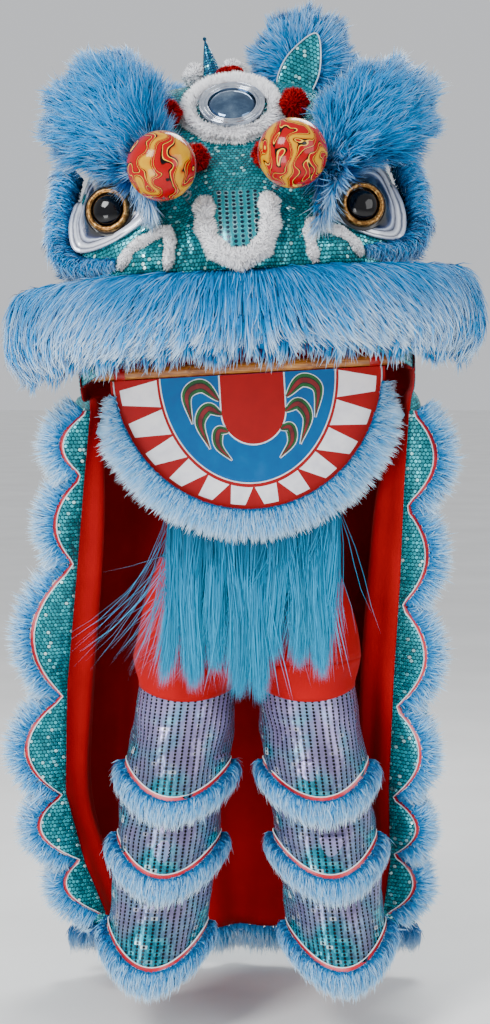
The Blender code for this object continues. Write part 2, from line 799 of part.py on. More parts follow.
# Ear: a leaf in its own plane, +Z to the tip; half width and how far the leaf is cupped, by height.
EAR_OUTLINE = [(0.0, -0.005), (0.062, 0.010), (0.100, 0.080), (0.106, 0.150), (0.070, 0.222), (0.0, 0.250)]
EAR_PAD_OUTLINE = [(0.0, 0.030), (0.034, 0.050), (0.040, 0.105), (0.022, 0.160), (0.0, 0.188)]
EAR_PLACES = {
    "left": ((-0.190, 0.075, 0.505), (math.radians(-62), 0.0, math.radians(-12))),
    "right": ((0.098, 0.045, 0.512), (math.radians(-8), math.radians(27), math.radians(4))),
}
EAR_DEPTH = 0.040


def mirrored_outline(half, depth=0.0):
    right = [Vector((x, depth, z)) for x, z in half]
    left = [Vector((-x, depth, z)) for x, z in reversed(half[1:-1])]
    return right + left


def ear_fur(side, frame, seats):
    outline = mirrored_outline(EAR_OUTLINE)
    piece = fur_puff(
        f"ear_fur_{side}", outline, (0, -EAR_DEPTH * 0.45, 0.110), "blue_fur", frame,
        locks=18, short=0.86, back=(0, EAR_DEPTH, 0.0), rise=0.9,
    )
    cut_by(piece, *seats)
    return piece


def ear_pad(side, frame):
    """The sequined inner ear, a thin padded leaf."""
    outline = mirrored_outline(EAR_PAD_OUTLINE)
    edge = smooth_path(outline, 14, closed=True)
    rings = []
    for reach, depth in ((0.9, -0.020), (1.0, -0.023), (0.55, -0.029)):
        ring = []
        for point in edge:
            ring.append(Vector((point.x * reach, depth, 0.108 + (point.z - 0.108) * reach)))
        rings.append(ring)
    return loft(f"ear_{side}", rings, "teal_sequins", frame)


def mirror_fur(frame, seats):
    stations = []
    for i in range(MIRROR_FUR_STATIONS):
        turn = 2 * math.pi * i / MIRROR_FUR_STATIONS
        lie = Vector((math.cos(turn), math.sin(turn), 0))
        stations.append((lie * MIRROR_FUR_INNER + Vector((0, 0, -0.040)), lie, Vector((0, 0, 1)), 0.041, 0.052))
    section = [(0.02, 0.0), (0.02, 0.62), (0.36, 1.0), (0.80, 0.84), (1.0, 0.40), (0.7, 0.0)]
    piece = fur_band("mirror_fur", stations, "white_fur", frame, closed=True, section=section, short=0.90)
    cut_by(piece, *seats)
    return piece


def mirror_rim(frame, seats):
    outer = MIRROR_RIM_RADIUS
    inner = MIRROR_GLASS_RADIUS + GAP
    profile = [
        (outer - 0.004, 0.004), (outer, 0.0), (outer, -0.034), (inner, -0.006),
        (inner, 0.002), (outer - 0.010, -0.001),
    ]
    piece = turned("mirror_rim", profile, MIRROR_SIDES, "chrome", frame, closed_profile=True)
    cut_by(piece, *seats)
    return piece


def mirror_glass(frame):
    radius = MIRROR_GLASS_RADIUS
    profile = [
        (0.0, 0.010), (radius * 0.5, 0.0075), (radius * 0.85, 0.002), (radius, -0.003), (0.0, -0.0055),
    ]
    return turned("mirror_glass", profile, MIRROR_SIDES, "blue_glass", frame)


HORN_SEAT = (-0.034, 0.018, 0.586)
HORN_HEIGHT = 0.098
HORN_RADIUS = 0.024
HORN_LEAN = math.radians(-9.0)


def horn(head, seats):
    frame = empty("horn_frame", HORN_SEAT, (math.radians(-6), HORN_LEAN, 0), head)
    top = HORN_HEIGHT
    profile = [
        (0.0, top), (0.0035, top - 0.003), (0.0035, top - 0.007), (0.0022, top - 0.010),
        (HORN_RADIUS * 0.62, top * 0.42), (HORN_RADIUS, 0.004), (HORN_RADIUS * 0.9, -0.030), (0.0, -0.030),
    ]
    piece = turned("horn", profile, 10, "teal_sequins", frame)
    cut_by(piece, *seats)
    return piece


def pompom(name, place, radius, key, head, seats):
    """A fluffy ball: every other point of a sphere stands out as a lock."""
    mesh = bpy.data.meshes.new(name)
    work = bmesh.new()
    bmesh.ops.create_uvsphere(work, u_segments=8, v_segments=6, radius=radius)
    for i, corner in enumerate(work.verts):
        corner.co *= 1.06 if i % 2 else 0.93
    bmesh.ops.triangulate(work, faces=work.faces)
    work.to_mesh(mesh)
    work.free()
    thing = bpy.data.objects.new(name, mesh)
    COSTUME.objects.link(thing)
    thing.parent = head
    thing.location = place
    finish(thing, key)
    shade(thing)
    cut_by(thing, *seats)
    return thing


POMPOM_COLUMNS = ("name", "x", "y", "z", "radius", "finish")
POMPOM_ROWS = [
    ("horn_pompom_left", -0.070, 0.030, 0.602, 0.028, "white_fur"),
    ("horn_pompom_right", 0.006, 0.030, 0.604, 0.030, "white_fur"),
    ("red_pompom_1", -0.128, -0.136, 0.512, 0.028, "red_fur"),
    ("red_pompom_2", 0.124, -0.118, 0.520, 0.030, "red_fur"),
    ("red_pompom_3", -0.076, -0.228, 0.414, 0.027, "red_fur"),
    ("red_pompom_4", 0.060, -0.232, 0.412, 0.027, "red_fur"),
]


def flame_ball(side, head):
    bpy.ops.mesh.primitive_uv_sphere_add(segments=12, ring_count=8, radius=BALL_RADIUS)
    ball = adopt(bpy.context.object, f"flame_ball_{side}", "ball_gloss", head)
    ball.location = BALL_PLACES[side]
    return ball


def ball_spring(side, head, seats):
    """Coil spring with a straight leg at each end: one into the nose, one into its ball."""
    x, z = SPRING_FOOT[side]
    foot = Vector((x, nose_front(x, z), z))
    centre = Vector(BALL_PLACES[side])
    axis = (centre - foot).normalized()
    top = (centre - foot).length - BALL_RADIUS
    across = axis.orthogonal().normalized()
    second = axis.cross(across)
    start = across * SPRING_RADIUS
    count = int(SPRING_TURNS * SPRING_STEPS) + 1
    points = [foot + start - axis * SPRING_SINK]
    for i in range(count):
        turn = 2 * math.pi * i / SPRING_STEPS
        spot = foot + axis * mixed(SPRING_LEG, top - SPRING_WIRE * 3, i / (count - 1))
        points.append(spot + across * (SPRING_RADIUS * math.cos(turn)) + second * (SPRING_RADIUS * math.sin(turn)))
    points.append(points[-1] + axis * SPRING_SINK)
    curve = bpy.data.curves.new(f"ball_spring_{side}", "CURVE")
    curve.dimensions = "3D"
    curve.bevel_depth = SPRING_WIRE
    curve.bevel_resolution = 0
    curve.use_fill_caps = True
    spline = curve.splines.new("POLY")
    spline.points.add(len(points) - 1)
    for knot, point in zip(spline.points, points):
        knot.co = (*point, 1.0)
    guide = bpy.data.objects.new("spring_guide", curve)
    spring = bpy.data.objects.new(f"ball_spring_{side}", meshed(guide))
    COSTUME.objects.link(spring)
    spring.parent = head
    finish(spring, "spring_steel")
    cut_by(spring, *seats)
    return spring


def mouth_bar(head):
    """Bamboo bar across the mouth; its ends meet the inside of the shell."""
    end = shell_section(0.0, "half_width") - SHELL_WALL - GAP * 2
    profile = [(0.0, end), (BAR_RADIUS, end)]
    for x in reversed(BAR_NODES):
        profile += [(BAR_RADIUS, x + 0.010), (BAR_RADIUS + BAR_NODE_SWELL, x), (BAR_RADIUS, x - 0.010)]
    profile += [(BAR_RADIUS, -end), (0.0, -end)]
    bar = turned("mouth_bar", profile, BAR_SIDES, "bamboo", head)
    bar.rotation_euler = (0, math.radians(90), 0)
    return bar


def jaw_tape(side, sign, jaw):
    """A loop of tape that turns on the bar and carries the jaw board."""
    inner = (BAR_RADIUS + GAP) / math.cos(math.pi / BAR_SIDES)
    outer = inner + TAPE_WALL
    half = TAPE_WIDTH / 2
    profile = [(outer, half), (outer, -half), (inner, -half), (inner, half)]
    loop = turned(f"jaw_tape_{side}", profile, BAR_SIDES, "red_tape", jaw, closed_profile=True)
    loop.location = (sign * TAPE_X, 0, 0)
    loop.rotation_euler = (0, math.radians(90), 0)
    return loop


def jaw_edge(share, grow=0.0):
    """Point on the jaw's curved edge, share 0 at the right corner, 1 at the left."""
    turn = math.pi * share
    return Vector((
        (JAW_HALF_WIDTH + grow) * math.cos(turn),
        0,
        JAW_TOP_Z - (JAW_DROP + grow) * math.sin(turn),
    ))


def jaw_board(jaw):
    curve = bpy.data.curves.new("jaw_board", "CURVE")
    curve.dimensions = "2D"
    curve.fill_mode = "BOTH"
    curve.extrude = JAW_THICKNESS / 2
    spline = curve.splines.new("POLY")
    spline.points.add(JAW_EDGE_POINTS - 1)
    for i, knot in enumerate(spline.points):
        spot = jaw_edge(i / (JAW_EDGE_POINTS - 1))
        knot.co = (spot.x, spot.z, 0, 1)
    spline.use_cyclic_u = True
    guide = bpy.data.objects.new("jaw_guide", curve)
    guide.rotation_euler = (math.radians(90), 0, 0)
    board = bpy.data.objects.new("jaw_board", meshed(guide))
    COSTUME.objects.link(board)
    board.parent = jaw
    finish(board, "painted_board")
    return board


JAW_FUR_STATIONS = 31
JAW_FUR_FROM = 0.035
JAW_FUR_OVERLAP = 0.005


def jaw_fur(jaw):
    """Fur all round the jaw's curved edge, its roots on the face of the board's rim."""
    stations = []
    for i in range(JAW_FUR_STATIONS):
        share = mixed(JAW_FUR_FROM, 1 - JAW_FUR_FROM, i / (JAW_FUR_STATIONS - 1))
        point = jaw_edge(share, -JAW_FUR_OVERLAP)
        ahead = jaw_edge(share + 0.004)
        behind = jaw_edge(share - 0.004)
        along = (ahead - behind).normalized()
        lie = along.cross(Vector((0, 1, 0))).normalized()
        if lie.dot(point) < 0:
            lie = -lie
        fade = min(1.0, 0.45 + 8.0 * min(share - JAW_FUR_FROM, 1 - JAW_FUR_FROM - share))
        point = point + Vector((0, -JAW_THICKNESS / 2 - GAP, 0))
        stations.append((point, lie, Vector((0, -1, 0)), JAW_FUR_LENGTH * fade, JAW_FUR_DEPTH * fade))
    return fur_band("jaw_fur", stations, "pale_fur", jaw, section=FLAT_SECTION, short=0.80)


# Beard: one row per lock, right to left: x at the root, x at the tip, z of the tip.
BEARD_COLUMNS = ("root_x", "tip_x", "tip_z")
BEARD_ROWS = [
    (0.172, 0.142, -0.600),
    (0.128, 0.112, -0.680),
    (0.086, 0.078, -0.655),
    (0.044, 0.022, -0.640),
    (0.004, -0.022, -0.722),
    (-0.042, -0.052, -0.712),
    (-0.086, -0.098, -0.655),
    (-0.130, -0.158, -0.690),
    (-0.172, -0.210, -0.675),
]
BEARD_FRONT = [(0.0, 0.0), (0.14, 0.0), (0.34, 0.030), (0.68, 0.026), (1.0, 0.003)]
BEARD_BACK = 0.012
BEARD_VALLEY = 0.055
BEARD_ROOT_DROP = 0.0008


def beard_columns():
    """One column down the middle of each lock and one down each valley between two."""
    columns = []
    for i, (root_x, tip_x, tip_z) in enumerate(BEARD_ROWS):
        columns.append((root_x, tip_x, tip_z, 1.0))
        if i + 1 < len(BEARD_ROWS):
            next_root, next_tip, next_z = BEARD_ROWS[i + 1]
            valley_z = max(tip_z, next_z) + BEARD_VALLEY
            columns.append(((root_x + next_root) / 2, (tip_x + next_tip) / 2, valley_z, 0.5))
    return columns


def jaw_under(x):
    """Height of the jaw board's lower edge at a distance from the middle."""
    return JAW_TOP_Z - JAW_DROP * math.sqrt(1 - (x / JAW_HALF_WIDTH) ** 2)


def beard(jaw):
    """Long hair in locks under the jaw: behind the fur at its roots, then falling free."""
    front = []
    back = []
    for share, deep in BEARD_FRONT:
        row = []
        for root_x, tip_x, tip_z, ridge in beard_columns():
            x = mixed(root_x, tip_x, share ** 1.3)
            z = mixed(jaw_under(root_x) - BEARD_ROOT_DROP, tip_z, share)
            row.append(Vector((x, -JAW_THICKNESS / 2 - deep * ridge, z)))
        front.append(row)
        back.append([Vector((p.x, mixed(BEARD_BACK, 0.0, share), p.z)) for p in row])
    return sheet_solid("beard", front, back, "blue_fur", jaw)


def cape_value(column, z):
    """A column of the cape's table at height z, with the foot row added."""
    rows = CAPE_ROWS + [(CAPE_FOOT_EDGE_Z, *CAPE_FOOT)]
    return between(rows, CAPE_COLUMNS.index(column), z)


def cape_plan(row, z):
    """Plan of the cape at one level: left front edge, round the back, to the right front edge."""
    left_x, right_x, edge_y, fold, side_x, side_y, back_y = row
    corner = 0.80
    knots = [
        (left_x, edge_y), (left_x + fold, edge_y + 0.085), (-side_x, side_y),
        (-side_x * corner, back_y - 0.030), (-side_x * 0.40, back_y), (0.0, back_y + 0.008),
        (side_x * 0.40, back_y), (side_x * corner, back_y - 0.030), (side_x, side_y),
        (right_x - fold, edge_y + 0.085), (right_x, edge_y),
    ]
    return smooth_path([(x, y, z) for x, y in knots], 2 * CAPE_HALF_COLUMNS + 1)


def cape_top(z, grow):
    """The cape's top rows follow the shell's own sides from the right round the back."""
    turns = [shell_turn(i) for i in range(-1, SHELL_AROUND // 2 + 2)]
    corners = [shell_point(turn, z, grow) for turn in turns]
    count = 2 * CAPE_HALF_COLUMNS + 1
    made = []
    for i in range(count):
        at = (len(corners) - 1) * i / (count - 1)
        k = min(int(at), len(corners) - 2)
        made.append(corners[k].lerp(corners[k + 1], at - k))
    made.reverse()
    return made


def cape_rows():
    """Level rows of the sheet between cape and lining, in world metres."""
    roll = Matrix.Rotation(HEAD_ROLL, 4, "Y")
    rows = [[roll @ p for p in cape_top(z, CAPE_TOP_STAND)] for z in CAPE_TOP_LEVELS]
    for z, *values in CAPE_ROWS:
        rows.append(cape_plan(values, z))
    foot = cape_plan(CAPE_FOOT, 0.0)
    last = len(foot) - 1
    for i, point in enumerate(foot):
        share = math.sin(math.pi * i / last) ** 0.8
        point.z = mixed(CAPE_FOOT_EDGE_Z, CAPE_FOOT_BACK_Z, share)
    rows.append(foot)
    for level, row in enumerate(rows):
        depth = CAPE_DRAPE * max(0, level - 2) / (len(rows) - 3)
        for i in range(3, last - 2):
            away = Vector((row[i].x, row[i].y - CAPE_MIDDLE_Y, 0)).normalized()
            row[i] = row[i] + away * (depth * (1 if i % 2 else -1))
    return rows


def sheet_faces(rows, wide):
    faces = []
    for r in range(rows - 1):
        for c in range(wide - 1):
            a = r * wide + c
            faces.append((a, a + wide, a + wide + 1))
            faces.append((a, a + wide + 1, a + 1))
    return faces


def moved_out(rows, distance):
    """The rows moved along the sheet's outward normal."""
    made = []
    for r, row in enumerate(rows):
        line = []
        for c, point in enumerate(row):
            across = row[min(c + 1, len(row) - 1)] - row[max(c - 1, 0)]
            down = rows[min(r + 1, len(rows) - 1)][c] - rows[max(r - 1, 0)][c]
            line.append(point + across.cross(down).normalized() * distance)
        made.append(line)
    return made


def sheet_solid(name, inner, outer, key, parent=None):
    """A closed wall between two like grids of points."""
    rows = len(inner)
    wide = len(inner[0])
    verts = [p for row in inner for p in row] + [p for row in outer for p in row]
    faces = sheet_faces(rows, wide)
    off = rows * wide
    faces += [tuple(off + v for v in reversed(face)) for face in faces]
    border = [c for c in range(wide)]
    border += [r * wide + wide - 1 for r in range(1, rows)]
    border += [(rows - 1) * wide + c for c in range(wide - 2, -1, -1)]
    border += [r * wide for r in range(rows - 2, 0, -1)]
    for a, b in zip(border, border[1:] + border[:1]):
        faces.append((a, b, off + b, off + a))
    return add_object(name, verts, faces, key, parent)


def cape_and_lining():
    rows = cape_rows()
    half = GAP / 2
    cape = sheet_solid("cape", moved_out(rows, half), moved_out(rows, half + CLOTH_WALL), "teal_sequins")
    lining = sheet_solid(
        "cape_lining", moved_out(rows, -half - LINING_WALL), moved_out(rows, -half), "red_cloth"
    )
    return cape, lining


# Ruffles: a row per scallop, top to bottom: z at its top and foot, how far its apex
# stands out sideways and forward of the cape's front edge.
RUFFLE_COLUMNS = ("top_z", "foot_z", "out", "forward")
RUFFLE_ROWS = {
    "left": [
        (-0.090, -0.227, 0.055, 0.010),
        (-0.227, -0.420, 0.054, 0.025),
        (-0.420, -0.722, 0.084, 0.030),
        (-0.722, -0.945, 0.086, 0.030),
        (-0.945, -1.092, 0.078, 0.025),
        (-1.092, -1.215, 0.064, 0.020),
    ],
    "right": [
        (-0.090, -0.292, 0.062, 0.010),
        (-0.292, -0.512, 0.054, 0.025),
        (-0.512, -0.745, 0.062, 0.050),
        (-0.745, -0.950, 0.062, 0.045),
        (-0.950, -1.080, 0.060, 0.030),
        (-1.080, -1.215, 0.060, 0.020),
    ],
}
RUFFLE_STEPS = 4
RUFFLE_LEAST = 0.012
RUFFLE_FUR_LENGTH = 0.042
RUFFLE_FUR_DEPTH = 0.034


def ruffle_line(side, sign):
    """Stations down one front edge: base point, outer point."""
    key = "left_x" if sign < 0 else "right_x"
    line = []
    for row, (top, foot, out, forward) in enumerate(RUFFLE_ROWS[side]):
        for step in range(RUFFLE_STEPS if row < len(RUFFLE_ROWS[side]) - 1 else RUFFLE_STEPS + 1):
            t = step / RUFFLE_STEPS
            z = mixed(top, foot, t)
            bow = math.sin(math.pi * t) ** 0.75
            base = Vector((cape_value(key, z) + sign * 0.0030, cape_value("edge_y", z), z))
            reach = max(RUFFLE_LEAST, out * bow)
            outer = base + Vector((sign * reach, -forward * bow + 0.010 * math.cos(math.pi * t), 0))
            line.append((base, outer))
    return line


def ruffle(side, sign, seats):
    """Scalloped strip down the cape's front edge."""
    line = ruffle_line(side, sign)
    front = []
    back = []
    for base, outer in line:
        middle = base.lerp(outer, 0.5) + Vector((0, -0.008, 0))
        row = [base, middle, outer]
        front.append([p + Vector((0, -CLOTH_WALL / 2, 0)) for p in row])
        back.append([p + Vector((0, CLOTH_WALL / 2, 0)) for p in row])
    piece = sheet_solid(f"ruffle_{side}", front, back, "teal_sequins")
    cut_by(piece, *seats)
    return piece


def ruffle_fur(side, sign):
    """Fur that carries on from the scallops' outer edge."""
    line = [outer for base, outer in ruffle_line(side, sign)]
    stations = []
    for i, point in enumerate(line):
        along = tangent(line, i)
        lie = along.cross(Vector((0, 1, 0))).normalized()
        if lie.x * sign < 0:
            lie = -lie
        at = point + lie * (GAP * 2)
        stations.append((at, lie, Vector((0, -1, 0)), RUFFLE_FUR_LENGTH, RUFFLE_FUR_DEPTH))
    return fur_band(f"ruffle_fur_{side}", stations, "pale_fur", section=FRINGE_SECTION, short=0.72)


def cape_hem_fur():
    """Fur that carries on from the foot of the cape."""
    foot = cape_rows()[-1]
    stations = []
    for i, point in enumerate(foot):
        spots = [point]
        if i + 1 < len(foot):
            spots.append(point.lerp(foot[i + 1], 0.5))
        for spot in spots:
            away = Vector((spot.x, spot.y - CAPE_MIDDLE_Y, 0)).normalized()
            at = spot + Vector((0, 0, -HEM_FUR_DROP))
            stations.append((at, Vector((0, 0, -1)), away, HEM_FUR_LENGTH, HEM_FUR_DEPTH))
    return fur_band("cape_hem_fur", stations, "pale_fur", section=FRINGE_SECTION, short=0.75)


def leg_centre(z, sign):
    share = (LEG_TOP_Z - z) / (LEG_TOP_Z - LEG_FOOT_Z)
    return Vector((sign * mixed(LEG_TOP_X, LEG_FOOT_X, share), mixed(LEG_TOP_Y, LEG_FOOT_Y, share), z))


def leg_ring(sign, radius_at, height_at, grow=0.0):
    """Ring of a leg from the front outward round; radius and height follow the angle."""
    ring = []
    for i in range(LEG_SIDES):
        turn = 2 * math.pi * i / LEG_SIDES
        z = height_at(turn)
        radius = radius_at(z) + grow
        ring.append(leg_centre(z, sign) + Vector((sign * math.sin(turn), -math.cos(turn), 0)) * radius)
    return ring


def hem_height(row):
    top_z, hem_z, dip, top_radius, hem_radius = row
    return lambda turn: hem_z - dip * math.cos(2 * turn)


def tier_radius(row):
    top_z, hem_z, dip, top_radius, hem_radius = row
    return lambda z: top_radius + (hem_radius - top_radius) * (top_z - z) / (top_z - hem_z)


def leg_tier(side, sign, number, row):
    """One flounce of a trouser leg, a tube with a hem that dips in front and behind."""
    radius = tier_radius(row)
    rings = [leg_ring(sign, radius, lambda turn: row[0]), leg_ring(sign, radius, hem_height(row))]
    verts = rings[0] + rings[1]
    faces = []
    for j in range(LEG_SIDES):
        k = (j + 1) % LEG_SIDES
        faces.append((j, k, LEG_SIDES + k, LEG_SIDES + j))
    tier = add_object(f"leg_tier_{side}_{number}", verts, faces, "lilac_sequins")
    if tier.data.polygons[0].normal.dot(tier.data.polygons[0].center - leg_centre(row[0], sign)) < 0:
        tier.data.flip_normals()
    solidify(tier, CLOTH_WALL)
    return tier


def leg_fur(side, sign, number, row):
    """Fur round a flounce's hem, its roots just outside the cloth and its back along it."""
    radius = tier_radius(row)
    hem = hem_height(row)
    ring = leg_ring(sign, radius, hem, LEG_FUR_STAND)
    below = leg_ring(sign, radius, lambda turn: hem(turn) - LEG_FUR_LENGTH, LEG_FUR_STAND)
    stations = []
    for i, point in enumerate(ring):
        k = (i + 1) % LEG_SIDES
        for spot, tip in ((point, below[i]), (point.lerp(ring[k], 0.5), below[i].lerp(below[k], 0.5))):
            away = spot - leg_centre(spot.z, sign)
            away.z = 0
            lie = (tip - spot).normalized()
            stations.append((spot, lie, away.normalized(), LEG_FUR_LENGTH, LEG_FUR_DEPTH))
    name = f"leg_fur_{side}_{number}"
    return fur_band(name, stations, "pale_fur", closed=True, section=FLAT_SECTION, short=0.76)


# Hip yoke, the plain red top of the trousers: half width and half depth by level.
YOKE_COLUMNS = ("z", "half_width", "half_depth")
YOKE_ROWS = [(-0.410, 0.190, 0.125), (-0.530, 0.230, 0.138), (-0.630, 0.248, 0.146)]
YOKE_OUTER = 7
YOKE_INNER = 3
YOKE_HEM_Z = -0.700
YOKE_HEM_DIP = 0.010


def hip_yoke():
    """Top of the trousers: one tube at the waist that parts into the two legs."""
    verts = []
    faces = []
    wide = YOKE_OUTER + 1
    for z, half_width, half_depth in YOKE_ROWS:
        for c in range(wide):
            turn = math.pi * c / YOKE_OUTER
            verts.append(Vector((half_width * math.sin(turn), LEG_TOP_Y - half_depth * math.cos(turn), z)))
    for c in (0, YOKE_OUTER):
        for r in range(len(YOKE_ROWS)):
            verts[r * wide + c].x = 0.0
    for r in range(len(YOKE_ROWS) - 1):
        for c in range(YOKE_OUTER):
            a = r * wide + c
            faces.append((a, a + 1, a + wide + 1, a + wide))
    crotch = (len(YOKE_ROWS) - 1) * wide
    seam = []
    z, half_width, half_depth = YOKE_ROWS[-1]
    for i in range(1, YOKE_INNER):
        share = i / YOKE_INNER
        drop = 0.020 * math.sin(math.pi * share)
        verts.append(Vector((0.0, LEG_TOP_Y + half_depth * math.cos(math.pi * share), z - drop)))
        seam.append(len(verts) - 1)
    top_ring = [crotch + c for c in range(wide)] + seam
    radius = tier_radius(TIER_ROWS[0])
    around = YOKE_OUTER + YOKE_INNER
    hem = []
    for i in range(around):
        turn = 2 * math.pi * (i - 1) / around
        height = YOKE_HEM_Z - YOKE_HEM_DIP * math.cos(2 * turn)
        reach = radius(height) + GAP * 2
        centre = leg_centre(height, 1)
        verts.append(centre + Vector((math.sin(turn), -math.cos(turn), 0)) * reach)
        hem.append(len(verts) - 1)
    for i in range(around):
        k = (i + 1) % around
        faces.append((top_ring[i], top_ring[k], hem[k], hem[i]))
    yoke = add_object("hip_yoke", verts, faces, "red_cloth")
    outward = yoke.data.polygons[0].normal.dot(yoke.data.polygons[0].center - Vector((0, LEG_TOP_Y, -0.5)))
    if outward < 0:
        yoke.data.flip_normals()
    twin = yoke.modifiers.new("other_side", "MIRROR")
    twin.merge_threshold = 0.0001
    solidify(yoke, YOKE_WALL, outward=True)
    return yoke


def build_head(head):
    shell = head_shell(head)
    block = shell_block(head)
    nose_piece = nose(head, block)
    over_nose = swollen(nose_piece)
    nose_fur(head, nose_piece)
    mirror_frame = empty("mirror_frame", MIRROR_SEAT, (MIRROR_TILT, 0, 0), head)
    rim = mirror_rim(mirror_frame, [block, over_nose])
    mirror_glass(mirror_frame)
    ring = mirror_fur(mirror_frame, [block, over_nose, swollen(rim)])
    mouth_bar(head)
    lip = upper_lip_fur(head, block)
    over_lip = swollen(lip)
    balls = [flame_ball(side, head) for side in ("left", "right")]
    over_ring = swollen(ring)
    pompoms = []
    horn_piece = horn(head, [block, over_ring])
    for name, x, y, z, radius, key in POMPOM_ROWS:
        seats = [block, over_nose, over_ring, swollen(horn_piece)] + [swollen(p) for p in pompoms[:2]]
        pompoms.append(pompom(name, (x, y, z), radius, key, head, seats))
    for side, sign in (("left", -1), ("right", 1)):
        ball = balls[0 if sign < 0 else 1]
        arch = nostril_fur(side, sign, head, [over_nose, block, over_lip])
        frame = eye_frame(side, head)
        panel = eye_panel(side, sign, head, frame, [block, over_nose])
        over_panel = swollen(panel)
        eye = [swollen(eye_ring(side, frame)), swollen(eye_dome(side, frame))]
        over_ball = swollen(ball)
        spring = ball_spring(side, head, [over_nose, over_ball])
        brow = brow_fur(
            side, head,
            [block, over_nose, over_panel, over_ring, over_ball, swollen(arch), swollen(spring)]
            + eye + [swollen(p) for p in pompoms],
        )
        over_brow = swollen(brow)
        cheek_fur(side, sign, head, [block, over_panel, over_nose, over_lip, over_brow, swollen(arch)])
        place, turn = EAR_PLACES[side]
        ear = empty(f"ear_frame_{side}", place, turn, head)
        pad = ear_pad(side, ear)
        ear_fur(side, ear, [block, over_brow, over_ring, swollen(pad)])
        cut_by(pad, block, over_brow, over_ring)


def build_jaw(head):
    jaw = empty("jaw_hinge", parent=head)
    jaw_board(jaw)
    jaw_fur(jaw)
    beard(jaw)
    for side, sign in (("left", -1), ("right", 1)):
        jaw_tape(side, sign, jaw)


def build_cape():
    cape, lining = cape_and_lining()
    cut = [swollen(cape), swollen(lining)]
    for side, sign in (("left", -1), ("right", 1)):
        ruffle(side, sign, cut)
        ruffle_fur(side, sign)
    cape_hem_fur()


def build_trousers():
    hip_yoke()
    for side, sign in (("left", -1), ("right", 1)):
        for i, row in enumerate(TIER_ROWS):
            leg_tier(side, sign, i + 1, row)
            leg_fur(side, sign, i + 1, row)


clear_scene()
COSTUME = new_collection("lion_dance_costume")
COSTUME_CUTTERS = new_collection("cutters")
HEAD = empty("head_frame", turn=(0, HEAD_ROLL, 0))
build_head(HEAD)
build_jaw(HEAD)
build_cape()
build_trousers()
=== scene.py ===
# %% [markdown]
# # A lion dance costume
# The set is a fur-trimmed head held up by a bamboo bar, a hinged jaw with a beard, a lined
# cape and tiered trousers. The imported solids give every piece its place. This lesson dresses
# them: hair is grown as thin tapered ribbons, cloth is drawn as fine sheets, and the painted
# and polished parts get smooth forms. Depths and heights are in metres, the costume faces -Y.

# %% Frame and tools
import math

import bmesh
import bpy
import numpy as np
from mathutils import Euler, Matrix, Vector, kdtree


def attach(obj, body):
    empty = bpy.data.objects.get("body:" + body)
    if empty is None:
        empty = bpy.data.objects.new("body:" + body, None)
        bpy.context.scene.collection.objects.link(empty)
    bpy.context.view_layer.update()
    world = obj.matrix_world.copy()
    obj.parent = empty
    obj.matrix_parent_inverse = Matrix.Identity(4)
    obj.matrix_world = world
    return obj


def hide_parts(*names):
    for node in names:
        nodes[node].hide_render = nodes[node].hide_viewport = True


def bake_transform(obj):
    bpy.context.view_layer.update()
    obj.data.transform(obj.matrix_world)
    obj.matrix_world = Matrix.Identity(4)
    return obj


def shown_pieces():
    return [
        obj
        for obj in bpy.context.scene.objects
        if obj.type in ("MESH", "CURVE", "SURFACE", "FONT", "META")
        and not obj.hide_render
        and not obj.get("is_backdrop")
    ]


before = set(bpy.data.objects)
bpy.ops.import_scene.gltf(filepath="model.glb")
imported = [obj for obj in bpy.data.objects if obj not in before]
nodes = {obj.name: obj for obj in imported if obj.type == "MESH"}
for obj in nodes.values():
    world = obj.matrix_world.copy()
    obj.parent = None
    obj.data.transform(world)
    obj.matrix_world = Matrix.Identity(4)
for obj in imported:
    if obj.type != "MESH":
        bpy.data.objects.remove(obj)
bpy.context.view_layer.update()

MM = 0.001
chance = np.random.default_rng(8)

# %% [markdown]
# Colours are written as a dyer or painter would pick them, in sRGB hex, and one function turns
# them to the linear values that shaders take. One more adds a node with its settings and
# links, so each finish below reads as a short list of nodes.

# %% Colour and nodes


def linear(code):
    """An sRGB hex value as a linear colour."""
    parts = [int(code[i : i + 2], 16) / 255 for i in (1, 3, 5)]
    return (*(p / 12.92 if p <= 0.04045 else ((p + 0.055) / 1.055) ** 2.4 for p in parts), 1.0)


def add(tree, kind, links=None, stops=None, **settings):
    """Adds a node: links gives each input a value or the output that feeds it."""
    node = tree.nodes.new(kind)
    for key, value in settings.items():
        setattr(node, key, value)
    for key, value in (links or {}).items():
        if isinstance(value, bpy.types.NodeSocket):
            tree.links.new(value, node.inputs[key])
        else:
            node.inputs[key].default_value = value
    if stops:
        marks = node.color_ramp.elements
        while len(marks) > 1:
            marks.remove(marks[-1])
        for i, (place, code) in enumerate(stops):
            mark = marks[0] if i == 0 else marks.new(place)
            mark.position = place
            mark.color = linear(code)
    return node


def start_finish(name, code, **values):
    """A new material with its Principled shader: (material, tree, shader)."""
    made = bpy.data.materials.new(name)
    made.use_nodes = True
    tree = made.node_tree
    shader = tree.nodes["Principled BSDF"]
    shader.inputs["Base Color"].default_value = linear(code)
    made.diffuse_color = linear(code)
    for key, value in values.items():
        shader.inputs[key.replace("_", " ")].default_value = value
    return made, tree, shader
